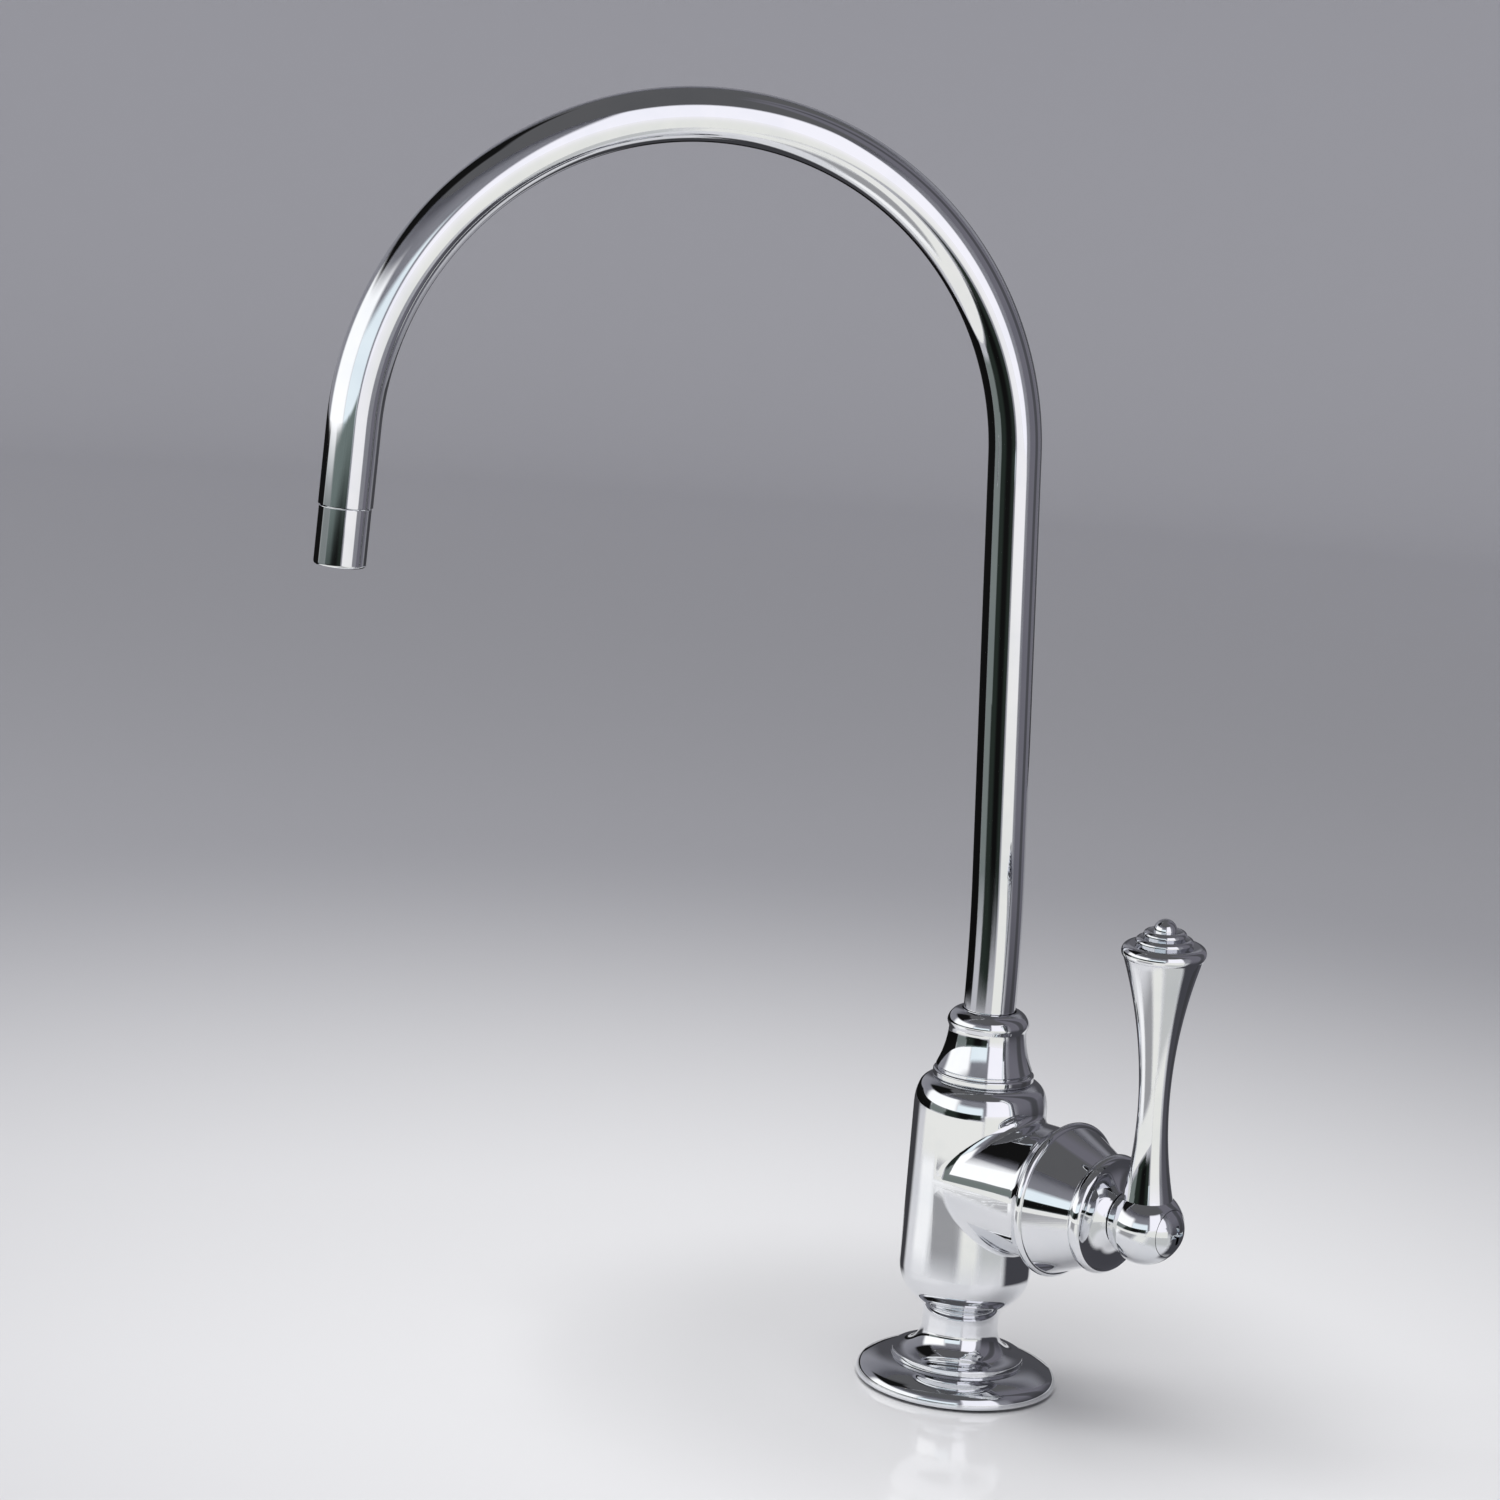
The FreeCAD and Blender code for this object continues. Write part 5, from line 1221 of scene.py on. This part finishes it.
def soft_card(flat, name, bearings, outline, *look):
    """Puts a card round the faucet that only mirrors and glossy surfaces see, and that fades at its edges."""
    first, last = bearings
    shape = bmesh.new()
    trace(shape, outline)
    spin_up(shape, math.radians(last - first), CARD_STEPS)
    shape.transform(Matrix.Rotation(CAMERA_SIDE + math.radians(first), 4, "Z"))
    card = add_object(name, mesh_of(shape, name))
    card.data.materials.append(card_finish(flat, name, bearings, outline, *look))
    card.visible_camera = card.visible_diffuse = card.visible_shadow = False
    card.visible_transmission = card.visible_volume_scatter = False


def soft_lamp(name, place, side, brightness):
    """Adds a square soft lamp that faces the faucet. Its brightness is that of its face."""
    light = bpy.data.lights.new(name, "AREA")
    light.size = side
    light.energy = brightness * math.pi * side ** 2
    lamp = add_object(name, light)
    lamp.location = place
    lamp.rotation_euler = place.to_track_quat("Z", "Y").to_euler()
    lamp.visible_glossy = False


def studio_floor(colours):
    """Adds the floor with its backdrop, painted pale by the foot and darker away from it as a fall-off of
    light, and with a shine by the foot.
    """
    shape = bmesh.new()
    trace(shape, STUDIO_OUTLINE)
    spin_up(shape, FULL_TURN, STUDIO_STEPS, use_merge=True)
    weld(shape)
    for face in shape.faces:
        face.smooth = True
        if face.normal.dot(STUDIO_MIDDLE - face.calc_center_median()) < 0:
            face.normal_flip()
    floor = add_object("studio_floor", mesh_of(shape, "studio_floor"))
    bench = NodeBench("Studio Floor")
    distance = distance_on(bench)
    far_tone = bench.tint(bench.ramp(distance, *BACKDROP_FADE), colours.floor_far, colours.backdrop)
    floor.data.materials.append(bench.finish(
        # Painted fall-off of light: pale by the foot, dimming to the far floor's grey
        Base_Color=bench.tint(bench.ramp(distance, *PAINTED_FALLOFF_FADE), colours.floor, far_tone),
        Roughness=0.9,
        Specular_IOR_Level=0.0,
        Coat_Weight=bench.ramp(distance, *SHINE_FADE),
        Coat_Roughness=0.08,
    ))


def add_surround(scene):
    """Adds the faint light from all round."""
    world = bpy.data.worlds.new("Studio")
    world.use_nodes = True
    light = world.node_tree.nodes["Background"].inputs
    light["Color"].default_value = (*scene.faucet_stage.surround, 1)
    light["Strength"].default_value = 1.0
    scene.world = world


def add_camera(scene):
    """Adds the camera at its place."""
    settings = scene.faucet_stage
    lens = bpy.data.cameras.new("Camera")
    lens.lens = settings.camera_lens
    lens.sensor_width = SENSOR_WIDTH
    camera = add_object("Camera", lens)
    turned = (Matrix.Rotation(settings.camera_heading, 4, "Z")
              @ Matrix.Rotation(QUARTER_TURN - settings.camera_tilt, 4, "X")
              @ Matrix.Rotation(settings.camera_roll, 4, "Z"))
    camera.location = settings.camera_place
    camera.rotation_euler = turned.to_euler()
    scene.camera = camera


class FAUCET_OT_stage(Operator):
    """Pale floor, soft lamps, cards for the chrome to mirror, and the camera"""
    bl_idname = "faucet.stage"
    bl_label = "Stage"

    def execute(self, context):
        scene = context.scene
        scene.view_settings.view_transform = "Standard"
        studio_floor(scene.faucet_finishes)
        for lamp in LAMPS:
            soft_lamp(*lamp)
        for flat, cards in ((False, SOFTBOXES), (True, MATS), (False, SCREENS)):
            for card in cards:
                soft_card(flat, *card)
        add_surround(scene)
        add_camera(scene)
        return {"FINISHED"}


class FAUCET_PT_pieces(Panel):
    """Lists the pieces in the sidebar"""
    bl_label = "Faucet"
    bl_space_type = "VIEW_3D"
    bl_region_type = "UI"
    bl_category = "Faucet"

    def draw(self, context):
        for operator in OPERATORS:
            self.layout.operator(operator.bl_idname)


OPERATORS = (
    FAUCET_OT_inner_parts,
    FAUCET_OT_foot,
    FAUCET_OT_body,
    FAUCET_OT_tail,
    FAUCET_OT_collar,
    FAUCET_OT_spout,
    FAUCET_OT_outlet,
    FAUCET_OT_trim,
    FAUCET_OT_hub,
    FAUCET_OT_lever,
    FAUCET_OT_screw,
    FAUCET_OT_stage,
)
SETTINGS = {
    "faucet_body": FaucetBodySizes,
    "faucet_spout": FaucetSpoutSizes,
    "faucet_handle": FaucetHandleSizes,
    "faucet_tail": FaucetTailSizes,
    "faucet_finishes": FaucetFinishes,
    "faucet_stage": FaucetStageSettings,
}


def register():
    """Registers the settings, the operators and the panel."""
    for name, group in SETTINGS.items():
        bpy.utils.register_class(group)
        setattr(bpy.types.Scene, name, PointerProperty(type=group))
    for kind in (*OPERATORS, FAUCET_PT_pieces):
        bpy.utils.register_class(kind)


def unregister():
    """Takes everything out again."""
    for kind in (FAUCET_PT_pieces, *reversed(OPERATORS)):
        bpy.utils.unregister_class(kind)
    for name, group in SETTINGS.items():
        delattr(bpy.types.Scene, name)
        bpy.utils.unregister_class(group)


def main():
    """Builds every piece and the stage."""
    register()
    for operator in OPERATORS:
        family, name = operator.bl_idname.split(".")
        getattr(getattr(bpy.ops, family), name)()


if __name__ == "__main__":
    main()
